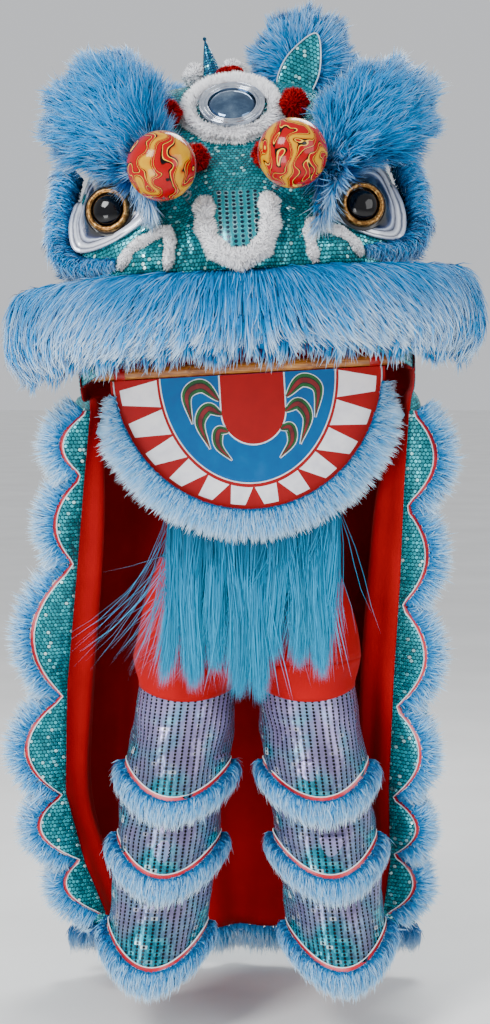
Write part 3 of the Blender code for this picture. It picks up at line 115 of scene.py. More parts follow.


# %% [markdown]
# The fur is acrylic pile on a knitted back. Each strand is a ribbon that carries three numbers:
# how far along it a point is, a shade of its own, and how pale its tips are. The material turns
# them to colour: dyed roots drawn darker as painted shade, for the shadow they lie in, a clear
# middle, and tips faded by a dip in bleach. Acrylic is soft and only slightly shiny, so it is
# rough, with a weak highlight.

# %% Fur finishes


def fur_finish(name, deep, light, shine=0.08, shades=(0.8, 1.12)):
    """deep and light are the colours root, middle and tip of a dyed and of a pale strand.
    Each root colour is drawn darker, as painted shade.
    """
    made, tree, shader = start_finish(name, deep[1], Roughness=0.55, IOR=1.49)
    hair = add(tree, "ShaderNodeAttribute", attribute_name="hair")
    parts = add(tree, "ShaderNodeSeparateColor", {"Color": hair.outputs["Color"]})
    along, shade, pale = parts.outputs[0], parts.outputs[1], parts.outputs[2]
    places = (0.0, 0.42, 1.0)
    dyed = add(tree, "ShaderNodeValToRGB", {"Fac": along}, stops=list(zip(places, deep)))
    faded = add(tree, "ShaderNodeValToRGB", {"Fac": along}, stops=list(zip(places, light)))
    both = add(
        tree, "ShaderNodeMix", {"Factor": pale, 6: dyed.outputs[0], 7: faded.outputs[0]},
        data_type="RGBA",
    )
    tone = add(
        tree, "ShaderNodeMapRange", {"Value": shade, "To Min": shades[0], "To Max": shades[1]}
    )
    toned = add(
        tree, "ShaderNodeHueSaturation", {"Color": both.outputs[2], "Value": tone.outputs[0]}
    )
    tree.links.new(toned.outputs[0], shader.inputs["Base Color"])
    shader.inputs["Specular IOR Level"].default_value = shine
    return made


blue_pile = fur_finish(
    "dyed_acrylic_pile_blue",
    ("#00487C", "#0070B0", "#0088CC"),
    ("#006CB0", "#2098DC", "#E8F8FF"),
)
pale_pile = fur_finish(
    "dip_bleached_acrylic_pile",
    ("#0064A8", "#1490D4", "#A0D8F8"),
    ("#1480C8", "#88C8F0", "#FFFFFF"),
)
white_plush = fur_finish(
    "white_plush",
    ("#E0E0E8", "#FCFCFF", "#FFFFFF"),
    ("#ECECF2", "#FFFFFF", "#FFFFFF"),
    shades=(0.93, 1.05),
)
red_plush = fur_finish(
    "red_plush",
    ("#5C0002", "#980004", "#B80008"),
    ("#6C0004", "#A80008", "#C4040E"),
)
beard_fibre = fur_finish(
    "straight_nylon_fibre",
    ("#002840", "#0078A4", "#0094C4"),
    ("#004C70", "#008CBC", "#18B4E0"),
    shine=0.2,
    shades=(0.5, 1.35),
)

# %% [markdown]
# Sequined cloth is a knit with cup sequins sewn on in rows. Real ones are 5 mm discs a little
# over 5 mm apart; at this distance that is finer than the render shows, so they are drawn at
# 8 mm. Every sequin tips its own way, which is what makes the cloth glitter, so each cell of
# the pattern gets a random tilt in the bump and a random tone. The few brightest tones, near
# white, are painted glints.

# %% Sequined cloth
SEQUIN_PITCH = 8.0 * MM
SEQUIN_TILT = 1.1


def sequin_finish(name, dark, tones, dot=None, pitch=SEQUIN_PITCH, hem=None, columns=1.0, glint_from=0.94, uneven=(0.8, 1.15)):
    """dark shows between the discs, tones are the discs' range, its last, near-white one a painted
    glint on the few brightest discs; dot is a hole in each middle.
    hem is a second range that the cloth runs into in patches and toward its foot: a painted
    sheen, the teal shine of the sequins. With columns the discs stand in straight columns, that
    many pitches apart; without, rows are staggered."""
    made, tree, shader = start_finish(name, tones[1], Roughness=0.26, Metallic=0.5)
    place = add(tree, "ShaderNodeUVMap", uv_map="cloth")
    cells = add(
        tree, "ShaderNodeVectorMath", {0: place.outputs[0], 1: (1 / pitch / columns, 1 / pitch, 1)},
        operation="MULTIPLY",
    )
    if columns == 1.0:
        split = add(tree, "ShaderNodeSeparateXYZ", {0: cells.outputs[0]})
        line = add(tree, "ShaderNodeMath", {0: split.outputs[1]}, operation="FLOOR")
        odd = add(tree, "ShaderNodeMath", {0: line.outputs[0], 1: 1.0}, operation="PINGPONG")
        half = add(tree, "ShaderNodeMath", {0: odd.outputs[0], 1: 0.5}, operation="MULTIPLY")
        shift = add(tree, "ShaderNodeCombineXYZ", {0: half.outputs[0]})
        cells = add(tree, "ShaderNodeVectorMath", {0: cells.outputs[0], 1: shift.outputs[0]}, operation="ADD")
    corner = add(tree, "ShaderNodeVectorMath", {0: cells.outputs[0]}, operation="FLOOR")
    within = add(tree, "ShaderNodeVectorMath", {0: cells.outputs[0]}, operation="FRACTION")
    middle = add(
        tree, "ShaderNodeVectorMath", {0: within.outputs[0], 1: (0.5, 0.5, 0.0)},
        operation="SUBTRACT",
    )
    local = add(
        tree, "ShaderNodeVectorMath", {0: middle.outputs[0], 1: (columns, 1.0, 0.0)},
        operation="MULTIPLY",
    )
    reach = add(tree, "ShaderNodeVectorMath", {0: local.outputs[0]}, operation="LENGTH")
    own = add(tree, "ShaderNodeTexWhiteNoise", {"Vector": corner.outputs[0]}, noise_dimensions="2D")
    disc = add(
        tree, "ShaderNodeMapRange",
        {"Value": reach.outputs["Value"], "From Min": 0.52, "From Max": 0.40},
    )
    # The last stop, near white, is a painted glint on the few discs with the highest value.
    tone = add(
        tree, "ShaderNodeValToRGB", {"Fac": own.outputs["Value"]},
        stops=[(0.0, tones[0]), (0.55, tones[1]), (glint_from, tones[2]), (1.0, tones[3])],
    )
    shown = add(
        tree, "ShaderNodeMix",
        {"Factor": disc.outputs[0], 6: linear(dark), 7: tone.outputs[0]},
        data_type="RGBA",
    )
    if hem:
        # Painted sheen: the teal shine of the sequins, laid on in patches and toward the cloth's foot.
        flat = add(tree, "ShaderNodeSeparateXYZ", {0: place.outputs[0]})
        drift = add(tree, "ShaderNodeTexNoise", {"Vector": place.outputs[0], "Scale": 9.0, "Detail": 2.0})
        patchy = add(tree, "ShaderNodeMath", {0: drift.outputs[0], 1: 2.4}, operation="MULTIPLY")
        low = add(
            tree, "ShaderNodeMath", {0: flat.outputs[1], 1: -4.0, 2: patchy.outputs[0]},
            operation="MULTIPLY_ADD",
        )
        run = add(tree, "ShaderNodeMapRange", {"Value": low.outputs[0], "From Min": 1.55, "From Max": 2.05})
        second = add(
            tree, "ShaderNodeValToRGB", {"Fac": own.outputs["Value"]},
            stops=list(zip((0.0, 0.6, glint_from, 1.0), hem)),
        )
        shown = add(
            tree, "ShaderNodeMix", {"Factor": run.outputs[0], 6: shown.outputs[2], 7: second.outputs[0]},
            data_type="RGBA",
        )
    if dot:
        hole = add(
            tree, "ShaderNodeMapRange",
            {"Value": reach.outputs["Value"], "From Min": 0.42, "From Max": 0.35},
        )
        shown = add(
            tree, "ShaderNodeMix",
            {"Factor": hole.outputs[0], 6: shown.outputs[2], 7: linear(dot)},
            data_type="RGBA",
        )
    # Darker and lighter patches: uneven tone, and on the trousers, with their wider range, painted shade of the
    # folds.
    soft = add(tree, "ShaderNodeTexNoise", {"Vector": place.outputs[0], "Scale": 9.0})
    wear_and_shade = add(
        tree, "ShaderNodeMapRange",
        {"Value": soft.outputs[0], "From Min": 0.32, "From Max": 0.68, "To Min": uneven[0], "To Max": uneven[1]},
    )
    toned = add(
        tree, "ShaderNodeHueSaturation", {"Color": shown.outputs[2], "Value": wear_and_shade.outputs[0]}
    )
    tree.links.new(toned.outputs[0], shader.inputs["Base Color"])
    lean = add(
        tree, "ShaderNodeVectorMath", {0: own.outputs["Color"], 1: (0.5, 0.5, 0.0)},
        operation="SUBTRACT",
    )
    slope = add(
        tree, "ShaderNodeVectorMath", {0: lean.outputs[0], 1: local.outputs[0]},
        operation="DOT_PRODUCT",
    )
    height = add(
        tree, "ShaderNodeMath",
        {0: slope.outputs["Value"], 1: SEQUIN_TILT, 2: disc.outputs[0]},
        operation="MULTIPLY_ADD",
    )
    relief = add(
        tree, "ShaderNodeBump",
        {"Height": height.outputs[0], "Distance": 1.4 * MM, "Strength": 0.9},
    )
    tree.links.new(relief.outputs[0], shader.inputs["Normal"])
    return made


# In each range the last, near-white tone is a painted glint.
head_sequins = sequin_finish(
    "sequined_knit_teal", "#034850", ("#046874", "#088C98", "#24B0BC", "#C8FFFC")
)
cape_sequins = sequin_finish(
    "sequined_knit_teal_worn", "#034C56", ("#04707C", "#0894A0", "#2CB8C4", "#D0FFFC")
)
# The trousers' hem range is the painted teal sheen of their sequins.
trouser_sequins = sequin_finish(
    "sequined_knit_lilac", "#9088B8", ("#8880AC", "#ACA4CC", "#DCD4F4", "#FFFFFF"), dot="#02040C",
    pitch=7.5 * MM, hem=("#006478", "#0088A0", "#20B0C4", "#FFFFFF"), columns=1.93, glint_from=0.95,
    uneven=(0.55, 1.2),
)
horn_sequins = sequin_finish(
    "sequined_knit_petrol", "#042C44", ("#064468", "#0A587C", "#1884A0", "#80D8E0"), pitch=6 * MM
)
panel_sequins = sequin_finish(
    "sequined_panel_silver", "#10909C", ("#38B0BC", "#70CCD4", "#B8E8EC", "#FFFFFF"),
    dot="#04283C", pitch=10 * MM, columns=1.4,
)

# %% [markdown]
# The lining and the top of the trousers are plain woven cotton, dyed red. A matt cloth scatters
# light, so it has no sharp highlight, but the nap gives its folds a soft pale edge: that is the
# sheen. The weave is 0.5 mm in the real cloth and is drawn at 2 mm so that it shows.

# %% Woven cloth
THREAD = 2.0 * MM


def woven_finish(name, colours, thread=THREAD, roughness=0.8):
    made, tree, shader = start_finish(name, colours[1], Roughness=roughness)
    place = add(tree, "ShaderNodeTexCoord")
    warp = add(
        tree, "ShaderNodeTexWave",
        {"Vector": place.outputs["Object"], "Scale": 1 / thread / 6.28, "Distortion": 0.6},
        bands_direction="X",
    )
    weft = add(
        tree, "ShaderNodeTexWave",
        {"Vector": place.outputs["Object"], "Scale": 1 / thread / 6.28, "Distortion": 0.6},
        bands_direction="Z",
    )
    weave = add(
        tree, "ShaderNodeMath", {0: warp.outputs["Fac"], 1: weft.outputs["Fac"]},
        operation="MULTIPLY",
    )
    soft = add(tree, "ShaderNodeTexNoise", {"Vector": place.outputs["Object"], "Scale": 7.0, "Detail": 4.0})
    tone = add(
        tree, "ShaderNodeValToRGB", {"Fac": soft.outputs[0]},
        stops=[(0.32, colours[0]), (0.5, colours[1]), (0.7, colours[2])],
    )
    tree.links.new(tone.outputs[0], shader.inputs["Base Color"])
    relief = add(
        tree, "ShaderNodeBump",
        {"Height": weave.outputs[0], "Distance": 0.3 * MM, "Strength": 0.35},
    )
    tree.links.new(relief.outputs[0], shader.inputs["Normal"])
    shader.inputs["Sheen Weight"].default_value = 0.04
    shader.inputs["Sheen Roughness"].default_value = 0.5
    shader.inputs["Specular IOR Level"].default_value = 0.15
    return made


red_cotton = woven_finish("woven_red_cotton", ("#9C0004", "#A80006", "#B40008"))
glitter_ribbon = woven_finish("red_glitter_ribbon", ("#8C1020", "#C82838", "#F08890"), 1.5 * MM, 0.4)
white_cord = woven_finish("braided_white_cord", ("#C8D0D8", "#E4ECF0", "#FFFFFF"), 1.2 * MM, 0.6)
silver_piping = woven_finish("silver_piping", ("#A8B4C4", "#D0DCE8", "#F4FAFF"), 1.2 * MM, 0.35)

# %% [markdown]
# Hard pieces: a chromed mirror rim, a blue-grey glass, gilt rings round black acrylic eyes,
# sprung steel wire, smoked bamboo and enamel paint. Each starts from the usual values of its
# material. Metals keep the default IOR and take their look from colour and roughness alone;
# paint and acrylic are clear coats over colour, which gives the small sharp highlight.

# %% Hard finishes


def mottled(name, colours, scale, low, high, grain=0.15, **values):
    """A finish whose colour and roughness drift in patches of about 1 / scale metres."""
    made, tree, shader = start_finish(name, colours[1], **values)
    place = add(tree, "ShaderNodeTexCoord")
    patch = add(
        tree, "ShaderNodeTexNoise",
        {"Vector": place.outputs["Object"], "Scale": scale, "Detail": 6.0, "Roughness": 0.6},
    )
    tone = add(
        tree, "ShaderNodeValToRGB", {"Fac": patch.outputs[0]},
        stops=[(0.3, colours[0]), (0.5, colours[1]), (0.72, colours[2])],
    )
    rough = add(
        tree, "ShaderNodeMapRange", {"Value": patch.outputs[0], "To Min": low, "To Max": high}
    )
    relief = add(
        tree, "ShaderNodeBump",
        {"Height": patch.outputs[0], "Distance": grain * MM, "Strength": 0.5},
    )
    tree.links.new(tone.outputs[0], shader.inputs["Base Color"])
    tree.links.new(rough.outputs[0], shader.inputs["Roughness"])
    tree.links.new(relief.outputs[0], shader.inputs["Normal"])
    return made


gilt = mottled("gilt_resin", ("#2C1C0C", "#80582A", "#D8B070"), 160.0, 0.2, 0.45, 0.4, Metallic=0.85)
chrome = mottled("chromed_brass", ("#B8C0CC", "#D0D8E4", "#F0F4FA"), 40.0, 0.05, 0.16, 0.02, Metallic=1.0)
steel = mottled("sprung_steel_wire", ("#585858", "#808084", "#B0B0B4"), 300.0, 0.25, 0.5, 0.05, Metallic=1.0)
black_acrylic = mottled(
    "moulded_black_acrylic", ("#010102", "#020206", "#04040A"), 30.0, 0.05, 0.12, 0.01,
    IOR=1.49, Specular_IOR_Level=0.35,
)
mirror_glass = mottled(
    "silvered_blue_glass", ("#30445C", "#4C6480", "#88A0B8"), 12.0, 0.03, 0.12, 0.02, Metallic=0.9
)
red_tape_finish = mottled(
    "wound_red_tape", ("#700404", "#A00808", "#C02020"), 60.0, 0.3, 0.5, 0.15, IOR=1.5
)
red_enamel = mottled(
    "red_enamel_paint", ("#980004", "#A00006", "#A80008"), 18.0, 0.45, 0.6, 0.1,
    IOR=1.5, Specular_IOR_Level=0.25,
)
blue_enamel = mottled(
    "blue_enamel_paint", ("#005494", "#005C9C", "#0064A4"), 22.0, 0.45, 0.6, 0.1,
    IOR=1.5, Specular_IOR_Level=0.25,
)
tooth_enamel = mottled(
    "white_enamel_paint", ("#E8E8F0", "#F8F8FC", "#FFFFFF"), 26.0, 0.45, 0.6, 0.1,
    IOR=1.5, Specular_IOR_Level=0.25,
)
green_enamel = mottled(
    "green_enamel_paint", ("#003C14", "#005820", "#046C2C"), 40.0, 0.3, 0.5, 0.1, IOR=1.5
)
wine_enamel = mottled(
    "wine_enamel_paint", ("#4C0008", "#780810", "#901018"), 40.0, 0.3, 0.5, 0.1, IOR=1.5
)
black_enamel = mottled(
    "black_enamel_paint", ("#020404", "#060808", "#101414"), 40.0, 0.3, 0.5, 0.1, IOR=1.5
)
white_line = mottled(
    "white_line_paint", ("#B8D0DC", "#E0ECF4", "#FFFFFF"), 60.0, 0.3, 0.5, 0.05, IOR=1.5
)

# %% [markdown]
# The pieces are grids of points, worked out from the same few sizes as the solids. `smooth`
# draws a curve through a short list of knots, `grid_faces` skins a grid, and `place` turns the
# result into a piece of the costume that rides on its body and stands for its solid. A sheet
# also keeps where each point lay on the flat cloth, in metres, so a pattern is never stretched.

# %% Curves, grids and pieces


def smooth(knots, count, closed=False):
    """Points on a Catmull-Rom curve through the knots."""
    knots = np.asarray(knots, float)
    flat = knots.reshape(len(knots), -1)
    spans = len(flat) if closed else len(flat) - 1
    at = np.linspace(0, spans, count, endpoint=not closed)
    span = np.minimum(at.astype(int), spans - 1)
    if closed:
        padded = np.vstack([flat[-1:], flat, flat[:2]])
    else:
        padded = np.vstack([2 * flat[:1] - flat[1:2], flat, 2 * flat[-1:] - flat[-2:-1]])
    p0, p1, p2, p3 = (padded[span + step] for step in range(4))
    t = (at - span)[:, None]
    made = 0.5 * (
        2 * p1 + (p2 - p0) * t + (2 * p0 - 5 * p1 + 4 * p2 - p3) * t**2
        + (3 * p1 - p0 - 3 * p2 + p3) * t**3
    )
    return made.reshape(count, *knots.shape[1:])


def unit(vectors):
    """Vectors of length one along the last axis."""
    size = np.linalg.norm(vectors, axis=-1, keepdims=True)
    return vectors / np.maximum(size, 1e-9)


def mixed(a, b, share):
    return a + (b - a) * share


def grid_faces(rows, wide, closed=False, start=0):
    """Quads over a grid of points; a closed grid joins its last column to its first."""
    last = wide if closed else wide - 1
    r, c = np.meshgrid(np.arange(rows - 1), np.arange(last), indexing="ij")
    a = r * wide + c
    b = r * wide + (c + 1) % wide
    return (np.stack([a, b, b + wide, a + wide], -1).reshape(-1, 4) + start).tolist()


def place(name, points, faces, finish, stands_for=(), slot=None, body="root", tidy=True):
    """A piece of the costume from points and faces, smooth shaded, with its faces outward."""
    mesh = bpy.data.meshes.new(name)
    mesh.from_pydata(np.asarray(points, float).reshape(-1, 3).tolist(), [], faces)
    if tidy:
        work = bmesh.new()
        work.from_mesh(mesh)
        bmesh.ops.recalc_face_normals(work, faces=work.faces)
        work.to_mesh(mesh)
        work.free()
    mesh.shade_smooth()
    for look in finish if isinstance(finish, (list, tuple)) else [finish]:
        mesh.materials.append(look)
    thing = bpy.data.objects.new(name, mesh)
    bpy.context.scene.collection.objects.link(thing)
    if body:
        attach(thing, body)
    if stands_for:
        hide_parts(*([stands_for] if isinstance(stands_for, str) else stands_for))
    return thing


def quad_corners(values):
    """The values at the four corners of each quad of a grid."""
    return np.stack([values[:-1, :-1], values[:-1, 1:], values[1:, 1:], values[1:, :-1]], 2)


def flat_places(grid, closed=False):
    """For each corner of each quad, its place on the flat cloth, in metres."""
    loop = np.concatenate([grid, grid[:, :1]], 1) if closed else grid
    across = np.linalg.norm(np.diff(loop, axis=1), axis=2)
    down = np.linalg.norm(np.diff(loop, axis=0), axis=2)
    u = np.hstack([np.zeros((len(loop), 1)), np.cumsum(across, 1)])
    u -= u[:, u.shape[1] // 2][:, None]
    v = -np.vstack([np.zeros((1, loop.shape[1])), np.cumsum(down, 0)])
    return quad_corners(np.stack([u, v], -1)).reshape(-1, 2)


def sheet(name, grid, thick, finish, closed=False, offset=0.0, inside=0, flat=None, **wear):
    """A cloth through a grid of points, as a thin wall, with its flat places as a UV map."""
    rows, wide = grid.shape[:2]
    thing = place(name, grid, grid_faces(rows, wide, closed), finish, tidy=False, **wear)
    layer = thing.data.uv_layers.new(name="cloth")
    if flat is None:
        places = flat_places(grid, closed)
    else:
        places = np.asarray(flat, float).reshape(-1, 2)
        if len(places) != len(thing.data.loops):
            places = places[[loop.vertex_index for loop in thing.data.loops]]
    layer.data.foreach_set("uv", places.reshape(-1))
    if thick:
        wall = thing.modifiers.new("wall", "SOLIDIFY")
        wall.thickness = thick
        wall.offset = offset
        wall.material_offset = inside
    return thing


HEAD_ROLL = math.radians(-3.3)
ROLL = np.array(Matrix.Rotation(HEAD_ROLL, 3, "Y"))


def on_head(points):
    """Points of the level head, turned to the tilt at which the head is held."""
    return np.asarray(points, float) @ ROLL.T


# %% [markdown]
# The head shell is papier-mache and cloth over a cane frame: a squarish bowl, open below. On
# the real one sequined cloth is glued outside and red cloth inside. Its level sections are
# superellipses, which have the flat front and tight corners of such heads.

# %% Head shell
SHELL_COLUMNS = ("z", "half_width", "front", "rear", "middle")
SHELL_ROWS = np.array([
    (0.045, 0.340, -0.285, 0.285, 0.000),
    (0.140, 0.345, -0.290, 0.290, 0.000),
    (0.230, 0.341, -0.280, 0.290, 0.000),
    (0.310, 0.330, -0.252, 0.285, 0.000),
    (0.390, 0.305, -0.207, 0.270, 0.010),
    (0.460, 0.270, -0.150, 0.250, 0.020),
    (0.525, 0.220, -0.080, 0.215, 0.040),
    (0.570, 0.150, -0.022, 0.175, 0.065),
])
CROWN = (0.0, 0.080, 0.592)
SQUARENESS = 3.4
SHELL_WALL = 3 * MM
SHELL_INSET = 2.5 * MM
RIM_FRONT, RIM_SIDE, RIM_REAR = 0.045, -0.024, 0.020
AROUND = 24
CAP_FROM = 0.500


def shell_value(column, z):
    return np.interp(z, SHELL_ROWS[:, 0], SHELL_ROWS[:, SHELL_COLUMNS.index(column)])


def shell_point(turn, z, grow=0.0):
    """Point of the shell's outer face; turn runs from the right side over the back."""
    power = 2 / SQUARENESS
    middle = shell_value("middle", z)
    c, s = np.cos(turn), np.sin(turn)
    x = (shell_value("half_width", z) + grow) * np.sign(c) * np.abs(c) ** power
    deep = np.where(
        s > 0, shell_value("rear", z) + grow - middle, middle - shell_value("front", z) + grow
    )
    y = middle + deep * np.sign(s) * np.abs(s) ** power
    return np.stack([x, y, z + 0 * x], -1)


def shell_front(x, z):
    """Depth of the shell's front, facet by facet as on the solid, seen from the front."""
    x, z = np.broadcast_arrays(np.asarray(x, float), np.asarray(z, float))
    turns = -2 * math.pi * np.arange(AROUND // 4 + 1) / AROUND
    flat_x, flat_z = np.abs(x).ravel(), z.ravel()
    found = np.empty(len(flat_x))
    for i in range(len(flat_x)):
        corners = shell_point(turns, flat_z[i])[::-1]
        found[i] = np.interp(flat_x[i], corners[:, 0], corners[:, 1])
    return found.reshape(x.shape)


turns = 2 * math.pi * np.arange(AROUND) / AROUND
rim_share = np.sin(turns) ** 2
rim_z = np.where(np.sin(turns) < 0, mixed(RIM_SIDE, RIM_FRONT, rim_share), mixed(RIM_SIDE, RIM_REAR, rim_share))
rings = [shell_point(turns, rim_z, -SHELL_INSET)]
rings += [shell_point(turns, np.full(AROUND, z), -SHELL_INSET) for z in SHELL_ROWS[1:, 0]]
crown = np.array(CROWN) - (0, 0, SHELL_INSET)
rings.append(crown + (rings[-1] - crown) * 0.35 + (0, 0, 3 * MM))
rings.append(crown + (rings[-1] - crown) * 0.05)
around = smooth(np.swapaxes(np.array(rings), 0, 1), 96, closed=True)
shell_grid = smooth(np.swapaxes(around, 0, 1), 40)
round_shell = np.concatenate([shell_grid, shell_grid[:, :1]], 1)
flat = quad_corners(round_shell)[..., :2]
wall_rows = round_shell[:-1, :, 2].mean(1) < CAP_FROM
flat[wall_rows] = flat_places(shell_grid, True).reshape(flat.shape)[wall_rows]
shell = sheet(
    "head_shell_cloth", on_head(shell_grid), SHELL_WALL, [head_sequins, red_cotton], closed=True,
    offset=1.0, inside=1, flat=flat, stands_for="head_shell", slot="shell_sequins",
)
print("shell:", len(shell.data.polygons), "faces")

# %% [markdown]
# Hair is the main thing the eye sees on this costume. It could be a particle system, but the
# strands have to be plain meshes that any program reads. So each one is a flat ribbon, two to
# six spans long, a few millimetres wide at the root and pointed at the tip: one ribbon stands
# for the twenty or so fibres that cling together. Their shading normals lean to the normal of
# the coat below, so that light passes over them as over one soft mass.

# %% Strands
SIDE_TWIST = 0.55
SOFT_NORMAL = 0.6


def strand_mesh(paths, normals, width, shade, pale, taper=0.8):
    """Ribbons along paths (strand, step, xyz): points, quads, triangles, normals and colours."""
    count, steps = paths.shape[:2]
    lie = unit(np.gradient(paths, axis=1))
    side = unit(np.cross(lie, normals[:, None]))
    over = unit(np.cross(side, lie))
    twist = chance.uniform(-SIDE_TWIST, SIDE_TWIST, (count, 1, 1))
    side, over = side * np.cos(twist) + over * np.sin(twist), over * np.cos(twist) - side * np.sin(twist)
    t = np.linspace(0, 1, steps)
    half = (width[:, None] / 2 * (1 - t[None] ** 1.6) ** taper)[..., None]
    pairs = np.stack([paths - side * half, paths + side * half], 2)[:, :-1].reshape(count, -1, 3)
    points = np.concatenate([pairs, paths[:, -1:]], 1)
    each = points.shape[1]
    spans = steps - 2
    first = np.arange(count)[:, None] * each
    row = first + 2 * np.arange(spans)[None]
    quads = np.stack([row, row + 1, row + 3, row + 2], -1).reshape(-1, 4)
    last = first[:, 0] + 2 * spans
    tips = np.stack([last, last + 1, last + 2], -1)
    own = np.concatenate([np.repeat(over[:, :-1], 2, 1), over[:, -1:]], 1)
    soft = unit(own * (1 - SOFT_NORMAL) + normals[:, None] * SOFT_NORMAL)
    along = np.concatenate([np.repeat(t[:-1], 2), t[-1:]])
    colour = np.empty((count, each, 4))
    colour[..., 0] = along
    colour[..., 1] = shade[:, None]
    colour[..., 2] = pale[:, None]
    colour[..., 3] = 1
    return points.reshape(-1, 3), quads, tips, soft.reshape(-1, 3), colour.reshape(-1, 4)


def undercoat(node, sink):
    """The solid's own form, drawn in by sink, as the dense pile below the long hair."""
    mesh = nodes[node].data
    work = bmesh.new()
    work.from_mesh(mesh)
    bmesh.ops.remove_doubles(work, verts=work.verts, dist=0.05 * MM)
    bmesh.ops.recalc_face_normals(work, faces=work.faces)
    bmesh.ops.triangulate(work, faces=work.faces)
    work.normal_update()
    points = np.array([v.co[:] for v in work.verts])
    normals = np.array([v.normal[:] for v in work.verts])
    faces = np.array([[v.index for v in f.verts] for f in work.faces])
    work.free()
    return points - normals * sink, normals, faces


def coat(name, node, parts, base, finish, slot, body="root", base_tone=(0.3, 0.5, 0.15)):
    """One fur piece: the undercoat and its strands in one mesh."""
    under, under_normals, under_faces = base
    # The undercoat reads its colour from the same ramps at base_tone; nearer the root end it carries the roots'
    # painted shade.
    points, soft, colours = [under], [under_normals], [np.tile((*base_tone, 1.0), (len(under), 1))]
    faces = under_faces.tolist()
    start = len(under)
    for strand_points, quads, tips, normals, colour in parts:
        points.append(strand_points)
        soft.append(normals)
        colours.append(colour)
        faces += (quads + start).tolist() + (tips + start).tolist()
        start += len(strand_points)
    thing = place(
        name, np.vstack(points), faces, finish, stands_for=node, slot=slot, body=body, tidy=False
    )
    mark = thing.data.color_attributes.new("hair", "FLOAT_COLOR", "POINT")
    mark.data.foreach_set("color", np.vstack(colours).astype(np.float32).reshape(-1))
    thing.data.normals_split_custom_set_from_vertices(np.vstack(soft).tolist())
    print(name, "faces:", len(thing.data.polygons))
    return thing


def clumped(roots, tips, group, pull):
    """Draws each strand's tip toward the tip of the strand that leads its lock."""
    leaders = chance.choice(len(roots), max(1, len(roots) // group), replace=False)
    tree = kdtree.KDTree(len(leaders))
    for i, leader in enumerate(leaders):
        tree.insert(roots[leader], i)
    tree.balance()
    nearest = np.array([leaders[tree.find(root)[1]] for root in roots])
    return tips + (tips[nearest] - tips) * pull, nearest


# %% [markdown]
# Two ways of growing cover every piece. A *pelt* grows all over a rounded form: roots are
# scattered evenly over its faces, each strand starts up along the normal and is combed over.
# A *fringe* grows from a line: each strand runs along the section that the solid was given
# there, so locks and outline stay where the solid has them.

# %% Pelt and fringe
BACK_FROM = 0.35


def scattered(points, normals, faces, count, keep=None):
    """Places spread evenly over the faces that keep wants, and their normals."""
    corners = points[faces]
    cross = np.cross(corners[:, 1] - corners[:, 0], corners[:, 2] - corners[:, 0])
    area = np.linalg.norm(cross, axis=1)
    if keep is not None:
        area = area * keep(corners.mean(1), unit(normals[faces].mean(1)))
    pick = chance.choice(len(faces), count, p=area / area.sum())
    a, b = chance.random(count), chance.random(count)
    over = a + b > 1
    a[over], b[over] = 1 - a[over], 1 - b[over]
    share = np.stack([1 - a - b, a, b], -1)[..., None]
    roots = (corners[pick] * share).sum(1)
    return roots, unit((normals[faces][pick] * share).sum(1))


def pelt(
    name, node, count, length, width, comb, finish, slot, *, base=None, pale=None, lift=0.6, sink=None,
    group=18, pull=0.5, keep=None, stray=0.25, spans=3, droop=0.0, body="root", tone=(0.3, 0.5, 0.15),
):
    """Hair all over a solid. comb gives the way it is combed, at roots and normals."""
    sink = length * 0.4 if sink is None else sink
    under, under_normals, faces = base or undercoat(node, sink)
    roots, normals = scattered(under, under_normals, faces, count, keep)
    way = comb(roots, normals)
    way = way - normals * (way * normals).sum(1, keepdims=True) * 0.8
    way = unit(way + chance.normal(0, stray, way.shape) * (np.linalg.norm(way, axis=1, keepdims=True) + 0.3))
    size = length * chance.uniform(0.7, 1.12, count)[:, None]
    rise = normals * lift
    tips = roots + size * unit(way * (1 - lift) + rise * 0.8) + np.array([0, 0, -1]) * droop * size
    tips, _ = clumped(roots, tips, group, pull)
    t = np.linspace(0, 1, spans + 1)[None, :, None]
    knee = roots + rise * size * 0.55 + (tips - roots) * 0.25
    paths = roots[:, None] * (1 - t) ** 2 + knee[:, None] * 2 * t * (1 - t) + tips[:, None] * t**2
    share = pale(roots, normals) if pale else np.full(count, 0.5)
    share = np.clip(share + chance.normal(0, 0.18, count), 0, 1)
    parts = [strand_mesh(paths, normals, width * chance.uniform(0.6, 1.3, count), chance.random(count), share)]
    return coat(name, node, parts, (under, under_normals, faces), finish, slot, body, tone)


def backing(base, count, length, width, way, shows):
    """Shorter hair for the side of a fringe that faces away from the way it shows."""
    under, under_normals, faces = base
    roots, normals = scattered(
        under, under_normals, faces, count,
        lambda centres, own: np.where(own @ np.asarray(shows) < BACK_FROM, 1.0, 0.02),
    )
    lie = unit(np.asarray(way) - normals * (normals @ np.asarray(way))[:, None] * 0.8)
    size = length * chance.uniform(0.7, 1.1, count)[:, None]
    tips = roots + size * unit(lie + normals * 0.45 + chance.normal(0, 0.15, lie.shape))
    t = np.linspace(0, 1, 3)[None, :, None]
    knee = roots + normals * size * 0.25 + (tips - roots) * 0.3
    paths = roots[:, None] * (1 - t) ** 2 + knee[:, None] * 2 * t * (1 - t) + tips[:, None] * t**2
    pale = np.clip(chance.normal(0.8, 0.2, count), 0, 1)
    return strand_mesh(paths, normals, width * chance.uniform(0.6, 1.3, count), chance.random(count), pale)


